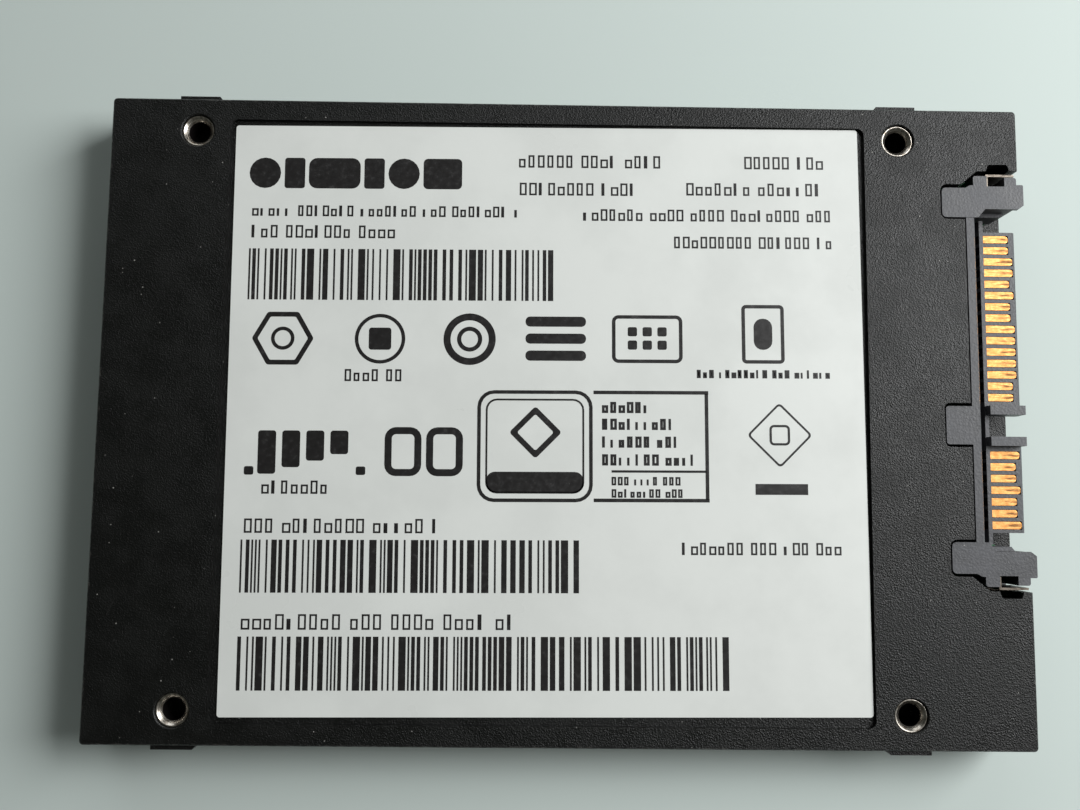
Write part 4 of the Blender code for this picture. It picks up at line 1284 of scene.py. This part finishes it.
@dataclass
class Electronics:
    """Circuit board and what is soldered to it."""

    nodes: dict[str, bpy.types.Object]
    chips: tuple[str, ...] = (
        "controller_chip",
        "memory_chip_1",
        "memory_chip_2",
        "power_regulator",
        "inductor_1",
        "inductor_2",
    )
    cap_share: float = 0.22
    cap_proud: float = 0.03 * MM
    softening: float = 0.05 * MM

    def build(self) -> None:
        """Dress the board, its chips, the thermal pad and the passives."""
        dress(self.nodes["circuit_board"], Palette.board.material())
        dress(self.nodes["thermal_pad"], Palette.silicone.material())
        soften(self.nodes["thermal_pad"], 2 * self.softening, 3)
        for name in self.chips:
            dress(self.nodes[name], Palette.resin.material())
            soften(self.nodes[name], self.softening)
        for name in ("crystal", "filter_capacitor"):
            dress(self.nodes[name], Palette.tin.material())
            soften(self.nodes[name], self.softening)
        for name in sorted(self.nodes):
            if name.startswith("bulk_capacitor"):
                self.build_capacitor(name)

    def build_capacitor(self, name: str) -> None:
        """Make a capacitor with a ceramic body between two tinned ends.

        Args:
            name: the part that it stands for.
        """
        low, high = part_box(name)
        inner_low = span(low.y, high.y, self.cap_share)
        inner_high = span(low.y, high.y, 1 - self.cap_share)
        proud = self.cap_proud
        solid = Solid()
        body = box(low.x + proud, inner_low, high.x - proud, inner_high)
        solid.prism(body, low.z + proud, high.z - proud, 0)
        for start, end in ((low.y, inner_low), (inner_high, high.y)):
            solid.prism(box(low.x, start, high.x, end, 2 * proud), low.z, high.z, 1)
        piece = solid.finish(f"{name}_body", [Palette.ceramic.material(), Palette.tin.material()])
        soften(piece, self.softening)
        place(piece, "capacitor_ceramic", name)


class Weight(Enum):
    """How heavy a row of greeked print is: the width of its lines in millimetres."""

    LIGHT = 0.19
    BOLD = 0.28


@dataclass(frozen=True)
class Row:
    """A row of greeked print: words as runs of plain blocks."""

    left: float
    top: float
    width: float
    height: float
    weight: Weight = Weight.LIGHT


@dataclass(frozen=True)
class Bars:
    """A block of random upright bars."""

    left: float
    top: float
    width: float
    height: float


ROWS = (
    Row(2.0, 8.9, 29.5, 1.2),
    Row(2.0, 11.1, 16.0, 1.4),
    Row(30.9, 3.1, 16.5, 1.4),
    Row(55.6, 3.1, 9.8, 1.4),
    Row(31.0, 6.2, 13.6, 1.4),
    Row(49.2, 6.1, 16.2, 1.4),
    Row(37.9, 9.1, 27.5, 1.3),
    Row(47.8, 12.1, 17.6, 1.3),
    Row(12.4, 26.8, 7.1, 1.3),
    Row(50.1, 26.7, 14.6, 0.9, Weight.BOLD),
    Row(3.9, 38.7, 8.0, 1.4),
    Row(2.2, 42.7, 21.2, 1.5),
    Row(48.3, 45.1, 17.5, 1.3),
    Row(2.2, 52.6, 29.6, 1.6),
    Row(39.9, 30.2, 5.8, 1.2, Weight.BOLD),
    Row(39.9, 32.0, 8.4, 1.2, Weight.BOLD),
    Row(39.9, 33.9, 9.4, 1.2, Weight.BOLD),
    Row(39.9, 35.8, 11.3, 1.2, Weight.BOLD),
    Row(40.9, 38.2, 7.6, 0.9),
    Row(40.9, 39.5, 8.2, 0.9),
)

# Width and corner radius of each shape of the emblem.
EMBLEM = ((3.4, 1.69), (2.2, 0.3), (5.6, 0.9), (2.2, 0.3), (3.4, 1.69), (4.2, 0.5))

BARCODES = (
    Bars(1.8, 13.7, 33.6, 5.6),
    Bars(1.9, 44.9, 35.9, 5.5),
    Bars(1.9, 54.9, 51.2, 5.5),
)


@dataclass
class LabelPrint:
    """Print on the label, as thin closed solids of ink.

    Places are given from the label's upper left corner, in millimetres to the right and down.
    """

    nodes: dict[str, bpy.types.Object]
    width: float = 68.1
    height: float = 63.1
    turn: float = math.radians(0.43)
    thickness: float = 0.012 * MM
    sink: float = 0.004 * MM
    line: float = 0.38
    heavy_line: float = 0.75
    fine_line: float = 0.25
    marks_level: float = 23.5
    letter_pitch: float = 0.74
    word_gap: float = 0.6
    solid_share: float = 0.2
    bar_module: float = 0.19
    emblem_left: float = 1.6
    emblem_top: float = 3.6
    emblem_height: float = 3.4
    emblem_gap: float = 0.42
    seed: int = 7
    middle: Vector = field(default_factory=Vector)
    low: float = 0.0
    high: float = 0.0

    def build(self) -> None:
        """Dress the label and print on it."""
        dress(self.nodes["label"], Palette.film.material())
        label_low, label_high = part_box("label")
        self.middle = (label_low.xy + label_high.xy) / 2
        self.low = label_high.z - self.sink
        self.high = label_high.z + self.thickness
        draw = {
            "label_print_rows": self.draw_rows,
            "label_print_bars": self.draw_bars,
            "label_print_emblem": self.draw_emblem,
            "label_print_marks": self.draw_marks,
            "label_print_panel": self.draw_panel,
        }
        for name, method in draw.items():
            solid = Solid()
            method(solid)
            place(solid.finish(name, [Palette.ink.material()]), None)

    def seat(self, outline: Outline) -> Outline:
        """Put an outline on the label.

        Args:
            outline: points in millimetres right and up from the label's upper left corner.

        Returns:
            The points in the drive's frame, in metres.
        """
        corner = Vector((-self.width / 2, self.height / 2))
        turn = Matrix.Rotation(self.turn, 2)
        return [self.middle + turn @ (corner + point) * MM for point in outline]

    def block(self, left: float, top: float, width: float, height: float, radius: float = 0.0) -> Outline:
        """Outline of a rectangle, in millimetres right and down from the label's corner."""
        return box(left, -top - height, left + width, -top, radius)

    def ink(self, solid: Solid, outline: Outline) -> None:
        """Print a filled outline."""
        solid.prism(self.seat(outline), self.low, self.high)

    def rim(self, solid: Solid, outer: Outline, inner: Outline) -> None:
        """Print what lies between two outlines."""
        solid.frame(self.seat(outer), self.seat(inner), self.low, self.high)

    def stroke(
        self, solid: Solid, left: float, top: float, width: float, height: float, radius: float, line: float
    ) -> None:
        """Print the frame of a rounded rectangle.

        Args:
            solid: where the ink goes.
            left: its left side.
            top: its upper side.
            width: its width.
            height: its height.
            radius: radius of its outer corners.
            line: width of the line.
        """
        outer = self.block(left, top, width, height, radius)
        inner = self.block(left + line, top + line, width - 2 * line, height - 2 * line, radius - line)
        self.rim(solid, outer, inner)

    def hoop(self, solid: Solid, right: float, down: float, radius: float, line: float) -> None:
        """Print a circle's line."""
        self.rim(solid, disc(right, -down, radius), disc(right, -down, radius - line))

    def gem(self, solid: Solid, right: float, down: float, radius: float, line: float, sides: int) -> None:
        """Print the line of a regular shape.

        Args:
            solid: where the ink goes.
            right: centre to the right.
            down: centre down.
            radius: distance of its corners from the centre.
            line: width of the line.
            sides: how many sides it has.
        """
        outer = regular(right, -down, radius, sides, 0.0, 0.12 * radius)
        inner = regular(right, -down, radius - 1.2 * line, sides, 0.0, 0.08 * radius)
        self.rim(solid, outer, inner)

    def draw_rows(self, solid: Solid) -> None:
        """Print the greeked rows: open and solid boxes of letter size, in words of random length.

        Args:
            solid: where the ink goes.
        """
        chance = random.Random(self.seed)
        for row in ROWS:
            pitch = self.letter_pitch * row.height
            advance = row.left
            letters = chance.randint(3, 9)
            while advance + pitch <= row.left + row.width:
                if letters == 0:
                    letters = chance.randint(3, 9)
                    advance += self.word_gap * pitch
                    continue
                width = pitch * chance.uniform(0.62, 0.8)
                height = row.height * chance.choice((1.0, 1.0, 1.0, 0.7, 0.7))
                top = row.top + row.height - height
                if chance.random() < self.solid_share:
                    self.ink(solid, self.block(advance, top, 0.45 * width, height))
                else:
                    self.stroke(solid, advance, top, width, height, 0.0, row.weight.value)
                advance += pitch
                letters -= 1

    def draw_bars(self, solid: Solid) -> None:
        """Print blocks of upright bars of random widths.

        Args:
            solid: where the ink goes.
        """
        module = self.bar_module
        for number, bars in enumerate(BARCODES):
            chance = random.Random(self.seed + number)
            right = bars.left + bars.width
            place_x = bars.left
            while place_x < right - 3 * module:
                width = module * chance.choice((1, 1, 1, 2, 2, 3, 4))
                self.ink(solid, self.block(place_x, bars.top, min(width, right - place_x), bars.height))
                place_x += width + module * chance.choice((1, 1, 2, 2, 3))

    def draw_emblem(self, solid: Solid) -> None:
        """Print the maker's place holder: a heavy row of plain shapes.

        Args:
            solid: where the ink goes.
        """
        place_x = self.emblem_left
        for width, radius in EMBLEM:
            self.ink(solid, self.block(place_x, self.emblem_top, width, self.emblem_height, radius))
            place_x += width + self.emblem_gap

    def draw_marks(self, solid: Solid) -> None:
        """Print the generic marks of the two middle rows."""
        self.draw_upper_marks(solid)
        self.draw_lower_marks(solid)

    def draw_upper_marks(self, solid: Solid) -> None:
        """Print a nut, a seal, a target, a stack, a keypad and a tag.

        Args:
            solid: where the ink goes.
        """
        line = self.line
        level = self.marks_level
        nut, seal, target = 5.7, 16.1, 25.7
        self.gem(solid, nut, level, 3.3, 0.5, 6)
        self.hoop(solid, nut, level, 1.25, line)
        self.hoop(solid, seal, level, 2.7, line)
        self.ink(solid, self.block(seal - 1.2, level - 1.2, 2.4, 2.4, 0.3))
        self.hoop(solid, target, level, 2.8, self.heavy_line)
        self.hoop(solid, target, level, 1.35, 0.45)
        for step in range(3):
            self.ink(solid, self.block(31.7, 21.0 + 1.85 * step, 6.5, 1.1, 0.5))
        self.stroke(solid, 41.0, 20.8, 7.6, 5.2, 0.7, line)
        for column in range(3):
            for row in range(2):
                self.ink(solid, self.block(42.7 + 1.6 * column, 22.1 + 1.45 * row, 1.0, 1.0, 0.2))
        self.stroke(solid, 55.0, 19.6, 4.6, 6.4, 0.5, line)
        self.ink(solid, self.block(56.3, 21.1, 2.0, 3.4, 0.95))

    def draw_lower_marks(self, solid: Solid) -> None:
        """Print falling steps between two dots, a pair of links, and a gem over a bar.

        Args:
            solid: where the ink goes.
        """
        for step in range(4):
            self.ink(solid, self.block(3.4 + 2.55 * step, 33.4, 1.9, 4.6 - 0.7 * step, 0.3))
        for dot in (2.0, 13.8):
            self.ink(solid, self.block(dot, 37.2, 1.0, 0.9, 0.2))
        for step in range(2):
            self.stroke(solid, 16.8 + 4.4 * step, 33.0, 3.9, 5.2, 1.2, self.heavy_line)
        self.gem(solid, 58.9, 33.7, 3.5, self.fine_line, 4)
        self.stroke(solid, 57.8, 32.6, 2.2, 2.2, 0.5, self.fine_line)
        self.ink(solid, self.block(56.2, 38.9, 5.6, 1.15))

    def draw_panel(self, solid: Solid) -> None:
        """Print the framed panel between the marks.

        Args:
            solid: where the ink goes.
        """
        line = self.line
        self.stroke(solid, 26.6, 29.0, 12.3, 11.9, 1.8, line)
        self.stroke(solid, 27.5, 29.9, 10.5, 10.1, 1.2, 0.2)
        self.ink(solid, self.block(27.6, 37.7, 10.3, 2.2, 0.9))
        self.gem(solid, 32.8, 33.5, 2.8, 0.7, 4)
        self.ink(solid, self.block(39.0, 29.0, 12.3, line))
        self.ink(solid, self.block(39.0, 40.5, 12.3, line))
        self.ink(solid, self.block(50.9, 29.3, line, 11.3))
        self.ink(solid, self.block(40.9, 37.5, 10.1, self.fine_line))


# --------------------------------------------------------------------------------------------------
# Studio
# --------------------------------------------------------------------------------------------------


@dataclass(frozen=True)
class Softbox:
    """Square area light that is aimed at the drive."""

    name: str
    place: Vector
    size: float
    power: float
    colour: Colour = (1.0, 1.0, 1.0)

    def build(self) -> None:
        """Hang the light."""
        light = bpy.data.lights.new(self.name, "AREA")
        light.size = self.size
        light.energy = self.power
        light.color = self.colour
        lamp = bpy.data.objects.new(self.name, light)
        lamp.location = self.place
        lamp.rotation_euler = (-self.place).to_track_quat("-Z", "Y").to_euler()
        bpy.context.scene.collection.objects.link(lamp)


@dataclass
class Studio:
    """Plain pale floor, soft light from the plug's side and a camera over the label."""

    floor_half: float = 1.2
    floor_thickness: float = 0.01
    ambient: Colour = (0.052, 0.056, 0.05)
    lens: float = 100 / 3
    sensor: float = 36.0
    eye: Vector = field(default_factory=lambda: Vector((-4.35, -9.3, 113.0)) * MM)
    tilt: Vector = field(default_factory=lambda: Vector((-5.65, 0.74, -0.65)))
    lights: tuple[Softbox, ...] = (
        Softbox("window_light", Vector((0.29, 0.10, 0.25)), 0.24, 2.2, (0.985, 0.995, 1.0)),
        Softbox("side_fill", Vector((-0.10, 0.60, 0.22)), 0.5, 1.1, (0.96, 0.98, 1.0)),
    )

    def build(self) -> None:
        """Lay the floor, hang the lights and set the camera."""
        solid = Solid()
        half = self.floor_half
        solid.prism(box(-half, -half, half, half), -self.floor_thickness, 0.0)
        floor = solid.finish("studio_floor", [Palette.floor.material()])
        scene = bpy.context.scene
        world = bpy.data.worlds.new("studio_air")
        world.use_nodes = True
        world.node_tree.nodes["Background"].inputs["Color"].default_value = (*self.ambient, 1.0)
        scene.world = world
        scene.view_settings.view_transform = "Standard"
        for light in self.lights:
            light.build()
        self.build_camera()

    def build_camera(self) -> None:
        """Set the camera."""
        camera = bpy.data.cameras.new("view_over_label")
        camera.lens = self.lens
        camera.sensor_width = self.sensor
        camera.clip_start = 0.005
        camera.clip_end = 10.0
        eye = bpy.data.objects.new("view_over_label", camera)
        turn = Matrix.Rotation(-math.radians(self.tilt.length), 4, self.tilt.normalized())
        eye.matrix_world = Matrix.Translation(self.eye) @ turn
        bpy.context.scene.collection.objects.link(eye)
        bpy.context.scene.camera = eye


def main() -> None:
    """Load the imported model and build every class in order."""
    logging.basicConfig(level=logging.INFO, format="%(name)s: %(message)s")
    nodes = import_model()["nodes"]
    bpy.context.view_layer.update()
    Studio().build()
    Case(nodes).build()
    for kind in InsertKind:
        for end in ("front", "rear"):
            for side in ("left", "right"):
                ThreadedInsert(kind, end, side).build()
    Plug(nodes).build()
    Electronics(nodes).build()
    LabelPrint(nodes).build()


if __name__ == "__main__":
    main()
